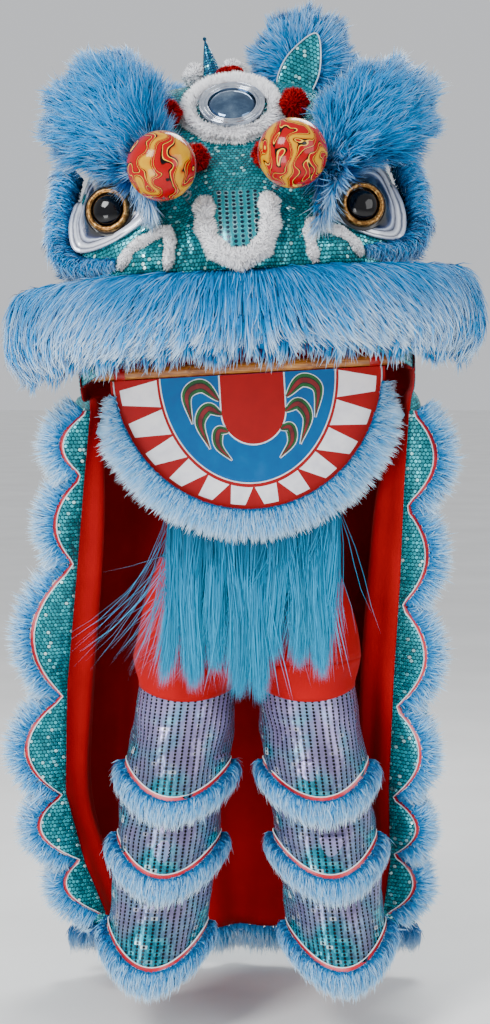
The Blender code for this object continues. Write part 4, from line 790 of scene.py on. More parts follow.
def fringe(
    name, node, stations, profile, count, width, finish, slot, *, closed=False, locks=30,
    pale=None, both=False, starts=(0.0, 0.6), reach=(0.35, 0.65), stray=3 * MM, pull=0.6,
    drift=None, spans=3, sink=3 * MM, layers=0.45, body="root", tone=(0.3, 0.5, 0.15), tuck=0.2, back=None,
):
    """Hair along a line of stations (point, tip way, face way, length, depth)."""
    point, lie, face, length, depth = (np.asarray(column, float) for column in stations)
    last = len(point)
    if closed:
        point, lie, face = (np.vstack([a, a[:1]]) for a in (point, lie, face))
        length, depth = np.append(length, length[0]), np.append(depth, depth[0])
        last += 1
    at = np.linspace(0, 1, last)

    def look_up(values, s):
        if values.ndim == 1:
            return np.interp(s, at, values)
        return np.stack([np.interp(s, at, values[:, i]) for i in range(3)], -1)

    curve = smooth(profile, 40)
    q_at = np.linspace(0, 1, len(curve))
    s0 = (np.arange(count) + chance.random(count)) / count
    chance.shuffle(s0)
    q0 = mixed(*starts, chance.random(count))
    q1 = np.minimum(q0 + chance.uniform(*reach, count), 1.0)
    number = np.floor(s0 * locks)
    middle = (number + 0.5 + 0.25 * np.sin(number * 7.3)) / locks
    off = np.clip(np.abs(s0 - middle) * locks * 2, 0, 1)
    layer = 1 - layers * chance.random(count) ** 1.5
    if both:
        layer = layer * chance.choice((-1.0, 1.0), count)
    t = np.linspace(0, 1, spans + 1)[None]
    s = s0[:, None] + (middle - s0)[:, None] * pull * t**2
    q = q0[:, None] + (q1 - q0)[:, None] * t
    along = np.interp(q, q_at, curve[:, 0])
    out = np.interp(q, q_at, curve[:, 1])
    along = along * (1 - tuck * (off[:, None] * t * np.clip(q, 0, 1)))
    long, deep = look_up(length, s)[..., None], look_up(depth, s)[..., None]
    tip_way, face_way = unit(look_up(lie, s)), unit(look_up(face, s))
    paths = look_up(point, s) + tip_way * long * along[..., None]
    paths = paths + face_way * deep * (out * layer[:, None])[..., None]
    paths = paths + chance.normal(0, stray, (count, 1, 3)) * t[..., None] ** 1.5
    if drift is not None:
        paths = paths + drift(paths[:, 0])[:, None] * t[..., None] ** 2
    normals = unit(face_way[:, 0] * np.where(layer > 0, 1, -1)[:, None] + tip_way[:, 0] * 0.3)
    share = pale(paths[:, 0], q0) if pale else 0.3 + 0.5 * q0
    share = np.clip(share + chance.normal(0, 0.18, count), 0, 1)
    # Strands toward the edge of a lock get a lower shade: painted shade between the locks, on top of a random shade.
    shade = np.clip(chance.random(count) * 0.8 + 0.2 * (1 - off), 0, 1)
    parts = [strand_mesh(paths, normals, width * chance.uniform(0.6, 1.3, count), shade, share)]
    base = undercoat(node, sink)
    if back:
        parts.append(backing(base, *back))
    return coat(name, node, parts, base, finish, slot, body, tone)


# %% [markdown]
# The upper lip is one long roll of fur, combed down and outward from the middle. Its roots
# are the strongest blue, and the tips at the foot fade to lavender white.

# %% Upper lip
LIP_ROWS = np.array([
    (0.000, -0.283, 0.178, 0.166, 0.100),
    (0.120, -0.280, 0.180, 0.164, 0.098),
    (0.235, -0.262, 0.178, 0.168, 0.092),
    (0.330, -0.215, 0.172, 0.176, 0.088),
    (0.395, -0.150, 0.166, 0.184, 0.082),
    (0.425, -0.090, 0.148, 0.158, 0.060),
    (0.432, -0.045, 0.120, 0.100, 0.032),
])
ROLL_PROFILE = [
    (-0.02, 0.20), (-0.06, 0.50), (0.04, 0.76), (0.28, 0.96), (0.58, 1.02), (0.82, 0.82), (1.0, 0.42),
]
LIP_END = 0.43
lip_rows = np.vstack([LIP_ROWS[:0:-1] * (-1, 1, 1, 1, 1), LIP_ROWS])
lip = smooth(lip_rows, 61)
lip_along = unit(np.gradient(lip[:, :2], axis=0))
lip_face = np.stack([lip_along[:, 1], -lip_along[:, 0], 0 * lip[:, 0]], -1)
down = np.tile((0.0, 0.0, -1.0), (61, 1))


def lip_pale(points, q):
    """Pale low down and toward both ends, strong blue along the top and the middle."""
    x = points[:, 0]
    out = np.clip(np.abs(x) / 0.4, 0, 1)
    low = np.clip((q - 0.2) / 0.4, 0, 1)
    return (0.85 + 0.3 * out) * low + 0.25 * out**2 + 0.1 * np.sin(x * 37)


def lip_drift(points):
    """The fan from the middle: the further out, the more a strand leans outward."""
    x = points[:, 0]
    lean = 0.045 * np.sin(math.pi * np.clip(x / LIP_END, -1, 1))
    return np.stack([lean, 0 * x, 0 * x], -1)


fringe(
    "upper_lip_hair", "upper_lip_fur",
    (on_head(lip[:, :3]), on_head(down), on_head(lip_face), lip[:, 3], lip[:, 4]),
    ROLL_PROFILE, 17000, 3.2 * MM, blue_pile, "head_fur", locks=46, pale=lip_pale, pull=0.45,
    starts=(0.0, 0.66), reach=(0.26, 0.42), drift=lip_drift, sink=14 * MM, spans=3, stray=6 * MM,
    back=(5500, 46 * MM, 4.0 * MM, (0.0, 0.2, -1.0), (0.0, -1.0, 0.0)),
)

# %% [markdown]
# Each brow is a full puff of fur, brushed out from its middle all the way round. The middle
# keeps the dye, and the ring of tips is pale.

# %% Brows
BROW_CRESTS = {"left": (-0.228, -0.290, 0.505), "right": (0.258, -0.290, 0.462)}
BROW_REACH = 0.17


def brow(side):
    crest = on_head(BROW_CRESTS[side])
    inward = -np.sign(crest[0])
    middle = crest + (0.06 * inward, 0.05, -0.10)

    def comb(roots, normals):
        return unit(roots - middle) + (0, 0, -0.22)

    def pale(roots, normals):
        off = np.linalg.norm((roots - crest)[:, (0, 2)], axis=1) / BROW_REACH
        return np.clip(off * 1.3 - 0.55 + np.clip(normals[:, 1] * 2 + 0.3, 0, 0.8), 0, 1)

    def keep(centres, normals):
        return np.where(normals[:, 1] < 0.75, 1.0, 0.5)

    pelt(
        f"brow_hair_{side}", f"brow_fur_{side}", 10500, 60 * MM, 3.3 * MM, comb, blue_pile,
        "head_fur", pale=pale, lift=0.34, sink=19 * MM, keep=keep, group=16, pull=0.4,
        stray=0.24, droop=0.08,
    )


for side in ("left", "right"):
    brow(side)

# %% Cheeks
PALE_UNDERCOAT = (0.62, 0.5, 0.6)
CHEEK_ROWS = np.array([
    (0.318, -0.085, 0.405, 0.060, 0.060),
    (0.336, -0.110, 0.330, 0.060, 0.070),
    (0.336, -0.130, 0.262, 0.060, 0.072),
    (0.308, -0.185, 0.232, 0.058, 0.066),
    (0.268, -0.222, 0.226, 0.050, 0.050),
    (0.236, -0.244, 0.224, 0.030, 0.030),
])
BAND_PROFILE = [(-0.12, 0.0), (0.0, 0.75), (0.42, 1.0), (1.0, 0.30)]
CHEEK_SINK = 0.35


def cheek(side, sign):
    rows = smooth(CHEEK_ROWS, 25)
    along = unit(np.gradient(rows[:, :3], axis=0))
    lie = unit(np.cross(along, unit(np.array([0.25, -1.0, 0.0]))))
    lie[lie @ (1.0, 0, -1.2) < 0] *= -1
    face = unit(np.cross(along, lie))
    face[face[:, 1] > 0] *= -1
    point = rows[:, :3] - face * rows[:, 4:] * CHEEK_SINK
    flip = np.array([sign, 1, 1])
    fringe(
        f"cheek_hair_{side}", f"cheek_fur_{side}",
        (on_head(point * flip), on_head(lie * flip), on_head(face * flip), rows[:, 3], rows[:, 4]),
        BAND_PROFILE, 5200, 3.0 * MM, blue_pile, "cheek_fur", locks=22, pull=0.35, stray=5 * MM,
        spans=2,
        pale=lambda points, q: 0.2 + 0.9 * q, starts=(0.0, 0.6), sink=8 * MM,
        tone=PALE_UNDERCOAT, back=(1500, 26 * MM, 3.2 * MM, (sign * 0.8, 0.3, -0.6), (0.0, -1.0, 0.0)),
    )


cheek("left", -1)
cheek("right", 1)

# %% [markdown]
# An ear is a leaf of sequined cloth with a piping, set in a ring of long fur. One ear is
# raised and the other laid back.

# %% Ears
EAR_PLACES = {
    "left": ((-0.190, 0.075, 0.505), (math.radians(-62), 0.0, math.radians(-12))),
    "right": ((0.098, 0.045, 0.512), (math.radians(-8), math.radians(27), math.radians(4))),
}
EAR_PAD = [(0.0, 0.030), (0.034, 0.050), (0.040, 0.105), (0.022, 0.160), (0.0, 0.188)]
PAD_MIDDLE = 0.108
PAD_RINGS = [(0.90, -0.0205), (1.0, -0.0232), (0.96, -0.0262), (0.80, -0.0280), (0.5, -0.0296), (0.02, -0.0302)]


def seat(spot, turn):
    """Matrix of a frame that stands at a spot of the level head with a turn of its own."""
    head = Matrix.Rotation(HEAD_ROLL, 4, "Y")
    return head @ Matrix.Translation(spot) @ Euler(turn).to_matrix().to_4x4()


def through(matrix, points):
    """Points moved by a matrix."""
    matrix = np.array(matrix)
    return np.asarray(points, float) @ matrix[:3, :3].T + matrix[:3, 3]


def tube(name, path, radius, finish, slot, closed=False, body="root", sides=8, **wear):
    """A round cord along a path."""
    path = np.asarray(path, float)
    if closed:
        ahead, behind = np.roll(path, -1, 0), np.roll(path, 1, 0)
        way = unit(ahead - behind)
    else:
        way = unit(np.gradient(path, axis=0))
    side = np.empty_like(path)
    spare = np.array((0.0, 0.0, 1.0)) if abs(way[0, 2]) < 0.9 else np.array((1.0, 0.0, 0.0))
    last = unit(np.cross(way[0], spare))
    for i, ahead in enumerate(way):
        last = unit(last - ahead * (last @ ahead))
        side[i] = last
    over = np.cross(way, side)
    turn = 2 * math.pi * np.arange(sides) / sides
    rings = path[:, None] + radius * (
        side[:, None] * np.cos(turn)[None, :, None] + over[:, None] * np.sin(turn)[None, :, None]
    )
    faces = grid_faces(len(path), sides, True)
    if closed:
        start = (len(path) - 1) * sides
        faces += [
            (start + i, start + (i + 1) % sides, (i + 1) % sides, i) for i in range(sides)
        ]
    else:
        faces += [tuple(range(sides)), tuple(range((len(path) - 1) * sides, len(path) * sides))]
    return place(name, rings, faces, finish, slot=slot, body=body, **wear)


def turned(profile, sides):
    """Points and faces of a turned form; the profile is (radius, height), closed at radius 0."""
    profile = np.asarray(profile, float)
    turn = 2 * math.pi * np.arange(sides) / sides
    ring = np.stack([np.cos(turn), np.sin(turn), 0 * turn], -1)
    points = profile[:, None, :1] * ring[None] + profile[:, None, 1:] * np.array((0, 0, 1))
    return points.reshape(-1, 3), grid_faces(len(profile), sides, True)


def ear(side):
    matrix = seat(*EAR_PLACES[side])
    heart = through(matrix, [(0, 0.01, PAD_MIDDLE)])[0]
    plane = np.array(matrix)[:3, :3] @ (0, 1, 0)

    def comb(roots, normals):
        away = roots - heart
        return unit(away - (away @ plane)[:, None] * plane * 0.7)

    def pale(roots, normals):
        away = roots - heart
        back = normals @ plane > 0.2
        return np.clip(np.linalg.norm(away, axis=1) / 0.13 - 0.25 + 0.6 * back, 0, 1) * 0.85

    pelt(
        f"ear_hair_{side}", f"ear_fur_{side}", 7000, 44 * MM, 3.1 * MM, comb, blue_pile,
        "head_fur", pale=pale, lift=0.35, sink=13 * MM, group=14, stray=0.22, spans=2,
    )
    half = [(x, 0, z) for x, z in EAR_PAD]
    outline = smooth(half + [(-x, 0, z) for x, y, z in half[-2:0:-1]], 48, closed=True)
    middle = np.array((0, 0, PAD_MIDDLE))
    rings = [middle + (outline - middle) * reach + (0, depth, 0) for reach, depth in PAD_RINGS]
    grid = through(matrix, np.array(rings))
    sheet(
        f"ear_leaf_{side}", grid, 0, head_sequins, closed=True, flat=np.array(rings)[..., (0, 2)],
        stands_for=f"ear_{side}", slot="shell_sequins",
    )
    edge = middle + (outline - middle) * 0.97 + (0, PAD_RINGS[2][1] - 1 * MM, 0)
    tube(f"ear_piping_{side}", through(matrix, edge), 1.6 * MM, silver_piping, None, closed=True)


for side in ("left", "right"):
    ear(side)

# %% [markdown]
# On the forehead a domed mirror sits in stepped chromed rings with a ruff of white plush. The
# rings are turned from one profile: each step catches the light as its own bright line.

# %% Mirror
MIRROR_SEAT = (0.0, -0.107, 0.528)
MIRROR_TILT = math.radians(45.0)
RIM_RADIUS, GLASS_RADIUS = 0.066, 0.048
RIM_PROFILE = [
    (0.048, -0.006), (0.0483, 0.0005), (0.0495, 0.0022), (0.0515, 0.0022), (0.0525, 0.0002),
    (0.0545, -0.0002), (0.0555, 0.0018), (0.0580, 0.0026), (0.0600, 0.0024), (0.0612, 0.0008),
    (0.0628, 0.0012), (0.0650, 0.0020), (0.0660, 0.0), (0.0660, -0.034),
]
mirror_frame = seat(MIRROR_SEAT, (MIRROR_TILT, 0, 0))
points, faces = turned(smooth(RIM_PROFILE, 66), 72)
place("mirror_rings", through(mirror_frame, points), faces, chrome, "mirror_rim", "mirror_rim")
GLASS_PROFILE = [(0.0002, 0.0100), (0.016, 0.0092), (0.030, 0.0062), (0.0408, 0.0022), (0.0470, -0.003)]
points, faces = turned(smooth(GLASS_PROFILE, 24), 64)
place("mirror_dome", through(mirror_frame, points), faces, mirror_glass, "mirror_glass", "mirror_glass")
WHITE_UNDERCOAT = (0.6, 0.5, 0.5)
mirror_heart = through(mirror_frame, [(0, 0, -0.035)])[0]
pelt(
    "mirror_plush", "mirror_fur", 9000, 14 * MM, 2.1 * MM,
    lambda roots, normals: unit(roots - mirror_heart), white_plush, "white_fur",
    lift=0.5, sink=9 * MM, group=8, pull=0.1, stray=0.25, spans=2, tone=WHITE_UNDERCOAT,
)

# %% [markdown]
# The nose is a raised saddle with a wing over each nostril, covered in sequined cloth. Its
# height over the shell is one smooth bump for the ridge and one for each wing. The narrow
# field between the arms of the white plush is set with silver sequins.

# %% Nose
NOSE_ROWS = np.array([
    (0.191, 0.049, 0.065, 0.243),
    (0.225, 0.055, 0.068, 0.234),
    (0.262, 0.056, 0.072, 0.195),
    (0.300, 0.050, 0.078, 0.140),
    (0.345, 0.040, 0.082, 0.125),
    (0.390, 0.026, 0.082, 0.110),
    (0.430, 0.012, 0.080, 0.090),
])
WING_X, WING_Z, WING_WIDE, WING_HIGH, WING_RISE = 0.186, 0.222, 0.034, 0.050, 0.030
NOSE_SINK = 0.022
PANEL_HALF, PANEL_LOW, PANEL_HIGH = 0.044, 0.222, 0.345


def nose_rise(x, z):
    ridge = np.interp(z, NOSE_ROWS[:, 0], NOSE_ROWS[:, 1])
    wide = np.interp(z, NOSE_ROWS[:, 0], NOSE_ROWS[:, 2])
    wing = np.exp(-(((np.abs(x) - WING_X) / WING_WIDE) ** 2) - ((z - WING_Z) / WING_HIGH) ** 2)
    return ridge * np.exp(-((x / wide) ** 4)) + WING_RISE * wing + 0.003


def nose_front(x, z):
    return shell_front(x, z) - nose_rise(x, z)


nose_z = np.linspace(NOSE_ROWS[0, 0], NOSE_ROWS[-1, 0], 37)[:, None]
nose_share = np.linspace(-1, 1, 57)[None]
nose_half = smooth(NOSE_ROWS[:, (0, 3)], 37)[:, 1][:, None]
nose_x = nose_half * np.sign(nose_share) * np.abs(nose_share) ** 1.15
nose_z = nose_z + 0 * nose_x
grid = np.stack([nose_x, nose_front(nose_x, nose_z), nose_z], -1)
skirt = np.pad(grid, ((1, 1), (1, 1), (0, 0)), mode="edge")
rim = np.ones(skirt.shape[:2], bool)
rim[1:-1, 1:-1] = False
skirt[rim, 1] += NOSE_SINK
nose = sheet(
    "nose_cloth", on_head(skirt), 0, [head_sequins, panel_sequins], stands_for="nose",
    slot="shell_sequins",
)
for face in nose.data.polygons:
    x, y, z = np.array(face.center) @ ROLL
    if abs(x) < PANEL_HALF and PANEL_LOW < z < PANEL_HIGH:
        face.material_index = 1

# %% [markdown]
# White plush is piled, not combed: short tufts stand straight up. It trims the nose in a U and
# each nostril in an arch, and the same plush in red or white makes the pompoms.

# %% Plush


def upright(roots, normals):
    return normals


def plush(name, node, count, length, finish, slot, tone=WHITE_UNDERCOAT, width=1.9 * MM, sunk=0.85):
    pelt(
        name, node, count, length, width, upright, finish, slot, lift=0.75, sink=length * sunk,
        group=8, pull=0.1, stray=0.25, spans=2, tone=tone,
    )


plush("nose_plush", "nose_fur", 10000, 10 * MM, white_plush, "white_fur")
for side in ("left", "right"):
    plush(f"nostril_plush_{side}", f"nostril_fur_{side}", 4500, 7 * MM, white_plush, "white_fur")
    plush(f"horn_tuft_{side}", f"horn_pompom_{side}", 3000, 11 * MM, white_plush, "white_fur", sunk=0.6)
for number in (1, 2, 3, 4):
    plush(f"red_tuft_{number}", f"red_pompom_{number}", 2600, 12 * MM, red_plush, "red_fur", sunk=0.6)

# %% [markdown]
# A small red tuft fills the gap between the horn's foot and the white ruff. It is a low mound
# of the same plush, so it grows on a mound that is turned here, and stands for no solid.

# %% Red tuft at the horn
TUFT_PLACE, TUFT_HALF, TUFT_PILE = np.array((0.0, -0.006, 0.600)), np.array((0.024, 0.013, 0.011)), 8 * MM
lift = np.linspace(-math.pi / 2 + 0.02, math.pi / 2 - 0.02, 9)
mound, quads = turned(np.stack([np.cos(lift), np.sin(lift)], -1), 16)
quads = np.array(quads)
pelt(
    "red_tuft_horn", (), 1500, TUFT_PILE, 1.9 * MM, upright, red_plush, "red_fur",
    base=(
        on_head(mound * TUFT_HALF + TUFT_PLACE), unit(on_head(mound / TUFT_HALF)),
        np.vstack([quads[:, (0, 1, 2)], quads[:, (0, 2, 3)]]),
    ),
    lift=0.75, group=8, pull=0.1, spans=2, tone=WHITE_UNDERCOAT,
)

# %% [markdown]
# The horn is a slim stuffed cone of sequined cloth with a button on its tip.

# %% Horn
HORN_SEAT = (-0.034, 0.018, 0.586)
HORN_LEAN, HORN_PITCH = math.radians(-9.0), math.radians(-6.0)
HORN_PROFILE = [
    (0.0002, 0.098), (0.0035, 0.0955), (0.0036, 0.091), (0.0022, 0.088), (0.0085, 0.066),
    (0.0149, 0.041), (0.0205, 0.020), (0.024, 0.004), (0.022, -0.020), (0.0002, -0.022),
]
horn_rings = smooth(HORN_PROFILE, 60)
horn_turn = 2 * math.pi * np.arange(40) / 40
horn_grid = np.stack([
    horn_rings[:, :1] * np.cos(horn_turn), horn_rings[:, :1] * np.sin(horn_turn),
    horn_rings[:, 1:] + 0 * horn_turn,
], -1)
horn_matrix = seat(HORN_SEAT, (HORN_PITCH, HORN_LEAN, 0))
sheet(
    "horn_cloth", through(horn_matrix, horn_grid), 0, horn_sequins, closed=True,
    stands_for="horn", slot="shell_sequins",
)

# %% [markdown]
# Each eye is a moulded plate, airbrushed in rings from navy beside the eye to silver at the
# edge. On it stand a gilt ring and a glossy black dome. The plate keeps how far out each point
# lies, from 0 at the eye to 1 at the edge, and the paint follows that number.

# %% Eyes
EYE_OUTLINE = [
    (0.174, 0.302), (0.215, 0.273), (0.275, 0.248), (0.325, 0.248), (0.338, 0.292),
    (0.326, 0.350), (0.300, 0.402), (0.250, 0.412), (0.200, 0.372), (0.170, 0.320),
]
EYE_SHIFT = {"left": (0.0, 0.0), "right": (-0.006, -0.010)}
EYE_PLACES = {"left": (-0.252, 0.322), "right": (0.241, 0.303)}
EYE_STAND, EYE_BACK = 0.034, -0.002
EYE_TILT, EYE_TURN = math.radians(10.0), math.radians(14.0)
RING_RADIUS, RING_WIRE, DOME_RADIUS = 0.0385, 0.0055, 0.0325
PLATE_TURN_X = 0.312
PLATE_RINGS = [(1.0, -0.014), (1.0, 0.006), (0.985, 0.0125), (0.93, 0.0150), (0.84, 0.0150), (0.74, 0.0172)]
BOSS_RADIUS = 0.045

plate_paint, tree, shader = start_finish(
    "airbrushed_moulded_abs", "#C8CCD8", Roughness=0.3, Metallic=0.25, Coat_Weight=0.5, IOR=1.54
)
out = add(tree, "ShaderNodeAttribute", attribute_name="out_from_eye")
spot = add(tree, "ShaderNodeTexCoord")
spray = add(tree, "ShaderNodeTexNoise", {"Vector": spot.outputs["Object"], "Scale": 60.0, "Detail": 5.0})
shaken = add(
    tree, "ShaderNodeMath", {0: spray.outputs[0], 1: 0.05, 2: out.outputs["Fac"]},
    operation="MULTIPLY_ADD",
)
bands = add(
    tree, "ShaderNodeValToRGB", {"Fac": shaken.outputs[0]},
    stops=[
        (0.46, "#04060F"), (0.58, "#10183C"), (0.64, "#606888"), (0.69, "#E4ECFA"),
        (0.74, "#9CA0B4"), (0.78, "#20242F"), (0.81, "#B8BCCC"), (0.87, "#F4F8FF"),
        (0.92, "#5C6074"), (0.96, "#E4E8F4"), (1.04, "#A8B0C4"),
    ],
)
tree.links.new(bands.outputs[0], shader.inputs["Base Color"])
relief = add(tree, "ShaderNodeBump", {"Height": spray.outputs[0], "Distance": 0.2 * MM, "Strength": 0.4})
tree.links.new(relief.outputs[0], shader.inputs["Normal"])


def eye(side, sign):
    dx, dz = EYE_SHIFT[side]
    ex, ez = EYE_PLACES[side]
    edge = smooth([(sign * x + dx, z + dz) for x, z in EYE_OUTLINE], 64, closed=True)
    heart = np.array((ex, ez))
    frame_y = float(shell_front(ex, ez)) - EYE_STAND
    matrix = seat((ex, frame_y, ez), (math.radians(90) - EYE_TILT, 0, sign * EYE_TURN))
    rings, marks = [], []
    for reach, stand in PLATE_RINGS:
        flat = heart + (edge - heart) * reach
        seat_y = shell_front(np.minimum(np.abs(flat[:, 0]), PLATE_TURN_X), flat[:, 1])
        rings.append(on_head(np.stack([flat[:, 0], seat_y - stand, flat[:, 1]], -1)))
        marks.append(reach)
    turn = np.arctan2(edge[:, 1] - ez, edge[:, 0] - ex)
    for reach, back in ((1.12, -0.0042), (1.0, -0.0026), (0.55, -0.0026), (0.02, -0.0026)):
        ring = np.stack([np.cos(turn), np.sin(turn), 0 * turn], -1) * BOSS_RADIUS * reach + (0, 0, back)
        rings.append(through(matrix, ring))
        marks.append(0.36 * reach)
    fine = smooth(np.array(rings), 46)
    share = smooth(np.array(marks)[:, None], 46)[:, 0]
    plate = place(
        f"eye_plate_{side}", fine, grid_faces(46, 64, True), plate_paint,
        f"eye_panel_{side}", "eye_panel",
    )
    mark = plate.data.attributes.new("out_from_eye", "FLOAT", "POINT")
    mark.data.foreach_set("value", np.repeat(share, 64).astype(np.float32))
    inner, outer = RING_RADIUS - RING_WIRE, RING_RADIUS + RING_WIRE
    profile = [
        (inner, EYE_BACK), (inner, 0.006), (RING_RADIUS - 0.003, 0.0082), (RING_RADIUS, 0.0088),
        (RING_RADIUS + 0.003, 0.0074), (outer - 0.0004, 0.004), (outer, 0.0), (outer - 0.0005, EYE_BACK),
    ]
    points, faces = turned(smooth(profile, 30), 72)
    place(f"eye_gilt_ring_{side}", through(matrix, points), faces, gilt, f"eye_ring_{side}", "eye_ring")
    profile = [
        (0.0002, DOME_RADIUS * 0.62), (DOME_RADIUS * 0.5, DOME_RADIUS * 0.53),
        (DOME_RADIUS * 0.86, DOME_RADIUS * 0.27), (DOME_RADIUS, EYE_BACK),
    ]
    points, faces = turned(smooth(profile, 24), 64)
    place(
        f"eye_black_dome_{side}", through(matrix, points), faces, black_acrylic,
        f"eye_dome_{side}", "eye_dome",
    )


eye("left", -1)
eye("right", 1)

# %% [markdown]
# The two balls that nod over the nose are lacquered: tongues of red flame over yellow, each
# edged with a fine cream and a fine black line. The swirl is one wave pattern, bent by noise,
# and cut at four heights, so the lines follow the flame exactly. Each ball rides on a spring.

# %% Flame balls and springs
BALL_RADIUS = 0.066
BALL_PLACES = {"left": (-0.139, -0.352, 0.391), "right": (0.109, -0.352, 0.401)}
SPRING_FOOT = {"left": (-0.088, 0.330), "right": (0.070, 0.338)}
SPRING_LEG, SPRING_SINK, SPRING_RADIUS, SPRING_WIRE, SPRING_TURNS = 0.016, 0.010, 0.0075, 0.0014, 3.5
FLAME_WIDTH, FLAME_CURL = 0.052, 0.13

flame_lacquer, tree, shader = start_finish(
    "flame_lacquer", "#A80008", Roughness=0.12, IOR=1.5, Specular_IOR_Level=0.25
)
spot = add(tree, "ShaderNodeTexCoord")
curl = add(
    tree, "ShaderNodeTexNoise", {"Vector": spot.outputs["Object"], "Scale": 17.0, "Detail": 1.0}
)
curled = add(
    tree, "ShaderNodeVectorMath",
    {0: curl.outputs["Color"], 1: (FLAME_CURL,) * 3, 2: spot.outputs["Object"]},
    operation="MULTIPLY_ADD",
)
tall = add(
    tree, "ShaderNodeVectorMath", {0: curled.outputs[0], 1: (1.0, 1.0, 0.55)}, operation="MULTIPLY"
)
swirl = add(
    tree, "ShaderNodeTexWave",
    {
        "Vector": tall.outputs[0], "Scale": 0.314 / FLAME_WIDTH, "Distortion": 7.0,
        "Detail": 1.0, "Detail Scale": 2.4, "Detail Roughness": 0.5,
    },
    wave_type="BANDS", bands_direction="X", wave_profile="SIN",
)
flame = add(
    tree, "ShaderNodeValToRGB", {"Fac": swirl.outputs["Fac"]},
    stops=[
        (0.0, "#C89400"), (0.14, "#C07C00"), (0.21, "#A83C00"), (0.22, "#060100"),
        (0.30, "#060100"), (0.31, "#F0B838"), (0.35, "#F0B838"), (0.36, "#980004"),
        (0.74, "#A00006"), (0.75, "#F0B838"), (0.79, "#F0B838"), (0.80, "#060100"),
        (0.87, "#060100"), (0.88, "#980004"), (1.0, "#A00006"),
    ],
)
tree.links.new(flame.outputs[0], shader.inputs["Base Color"])
dust = add(tree, "ShaderNodeTexNoise", {"Vector": spot.outputs["Object"], "Scale": 90.0, "Detail": 3.0})
matt = add(tree, "ShaderNodeMapRange", {"Value": dust.outputs[0], "To Min": 0.06, "To Max": 0.2})
tree.links.new(matt.outputs[0], shader.inputs["Roughness"])


def flame_ball(side):
    centre = np.array(BALL_PLACES[side])
    lift = np.linspace(-math.pi / 2 + 0.01, math.pi / 2 - 0.01, 41)
    points, faces = turned(np.stack([BALL_RADIUS * np.cos(lift), BALL_RADIUS * np.sin(lift)], -1), 72)
    place(
        f"lacquer_ball_{side}", on_head(points + centre), faces, flame_lacquer,
        f"flame_ball_{side}", "flame_ball",
    )
    x, z = SPRING_FOOT[side]
    foot = np.array((x, float(nose_front(x, z)), z))
    axis = Vector(centre - foot).normalized()
    top = float(np.linalg.norm(centre - foot)) - BALL_RADIUS
    across = axis.orthogonal().normalized()
    second = axis.cross(across)
    axis, across, second = (np.array(v) for v in (axis, across, second))
    turn = np.linspace(0, SPRING_TURNS * 2 * math.pi, 90)[:, None]
    rise = np.linspace(SPRING_LEG, top - SPRING_WIRE * 3, 90)[:, None]
    coil = foot + axis * rise + SPRING_RADIUS * (across * np.cos(turn) + second * np.sin(turn))
    low = coil[0] - axis * np.linspace(SPRING_LEG + SPRING_SINK, 0.002, 6)[:, None]
    high = coil[-1] + axis * np.linspace(0.002, SPRING_SINK, 4)[:, None]
    tube(
        f"spring_wire_{side}", on_head(np.vstack([low, coil, high])), SPRING_WIRE, steel,
        "spring_steel", stands_for=f"ball_spring_{side}",
    )


flame_ball("left")
flame_ball("right")

# %% [markdown]
# The hand bar is a bamboo cane, smoked brown: fibres run along it, and a low swelling marks
# each node. The jaw hangs from it in two wound loops of red tape.

# %% Hand bar and tape
BAR_RADIUS, BAR_END, NODE_SWELL = 0.0120, 0.3364, 0.0012
BAR_NODES = (-0.12, 0.13)
TAPE_X, TAPE_WIDTH, TAPE_WALL, GAP = 0.265, 0.022, 0.0010, 0.0003
FIBRE = 1.2 * MM

bamboo, tree, shader = start_finish("smoked_bamboo", "#90541C", Roughness=0.38, IOR=1.53, Coat_Weight=0.3)
spot = add(tree, "ShaderNodeTexCoord")
fibres = add(
    tree, "ShaderNodeVectorMath", {0: spot.outputs["Object"], 1: (14.0, 1 / FIBRE, 1 / FIBRE)},
    operation="MULTIPLY",
)
grain = add(tree, "ShaderNodeTexNoise", {"Vector": fibres.outputs[0], "Scale": 1.0, "Detail": 5.0})
smoke = add(tree, "ShaderNodeTexNoise", {"Vector": spot.outputs["Object"], "Scale": 16.0, "Detail": 4.0})
tone = add(
    tree, "ShaderNodeMath", {0: smoke.outputs[0], 1: 0.6, 2: grain.outputs[0]}, operation="MULTIPLY_ADD"
)
cane = add(
    tree, "ShaderNodeValToRGB", {"Fac": tone.outputs[0]},
    stops=[(0.55, "#4A240C"), (0.78, "#8C5018"), (0.95, "#B87830"), (1.1, "#D09848")],
)
tree.links.new(cane.outputs[0], shader.inputs["Base Color"])
relief = add(tree, "ShaderNodeBump", {"Height": grain.outputs[0], "Distance": 0.4 * MM, "Strength": 0.5})
tree.links.new(relief.outputs[0], shader.inputs["Normal"])

sideways = Matrix.Rotation(HEAD_ROLL, 4, "Y") @ Matrix.Rotation(math.radians(90), 4, "Y")
stops_along = np.linspace(-BAR_END, BAR_END, 160)
swell = sum(NODE_SWELL * np.exp(-(((stops_along - x) / 0.006) ** 2)) for x in BAR_NODES)
profile = np.stack([BAR_RADIUS + swell, stops_along], -1)
profile = np.vstack([(0.0003, -BAR_END), profile, (0.0003, BAR_END)])
points, faces = turned(profile, 32)
place("bamboo_cane", through(sideways, points), faces, bamboo, "mouth_bar", "bamboo")
TAPE_PROFILE = [
    (0.0, -1.0), (0.9, -1.0), (1.0, -0.55), (0.72, -0.5), (1.0, -0.1), (0.75, -0.05), (1.0, 0.35),
    (0.7, 0.4), (0.95, 0.95), (0.0, 1.0),
]
for side, sign in (("left", -1), ("right", 1)):
    profile = [
        (BAR_RADIUS + GAP + TAPE_WALL * share, sign * TAPE_X + half * TAPE_WIDTH / 2)
        for share, half in TAPE_PROFILE
    ]
    points, faces = turned(profile, 40)
    place(
        f"tape_winding_{side}", through(sideways, points), faces, red_tape_finish,
        f"jaw_tape_{side}", "red_tape", body="jaw",
    )

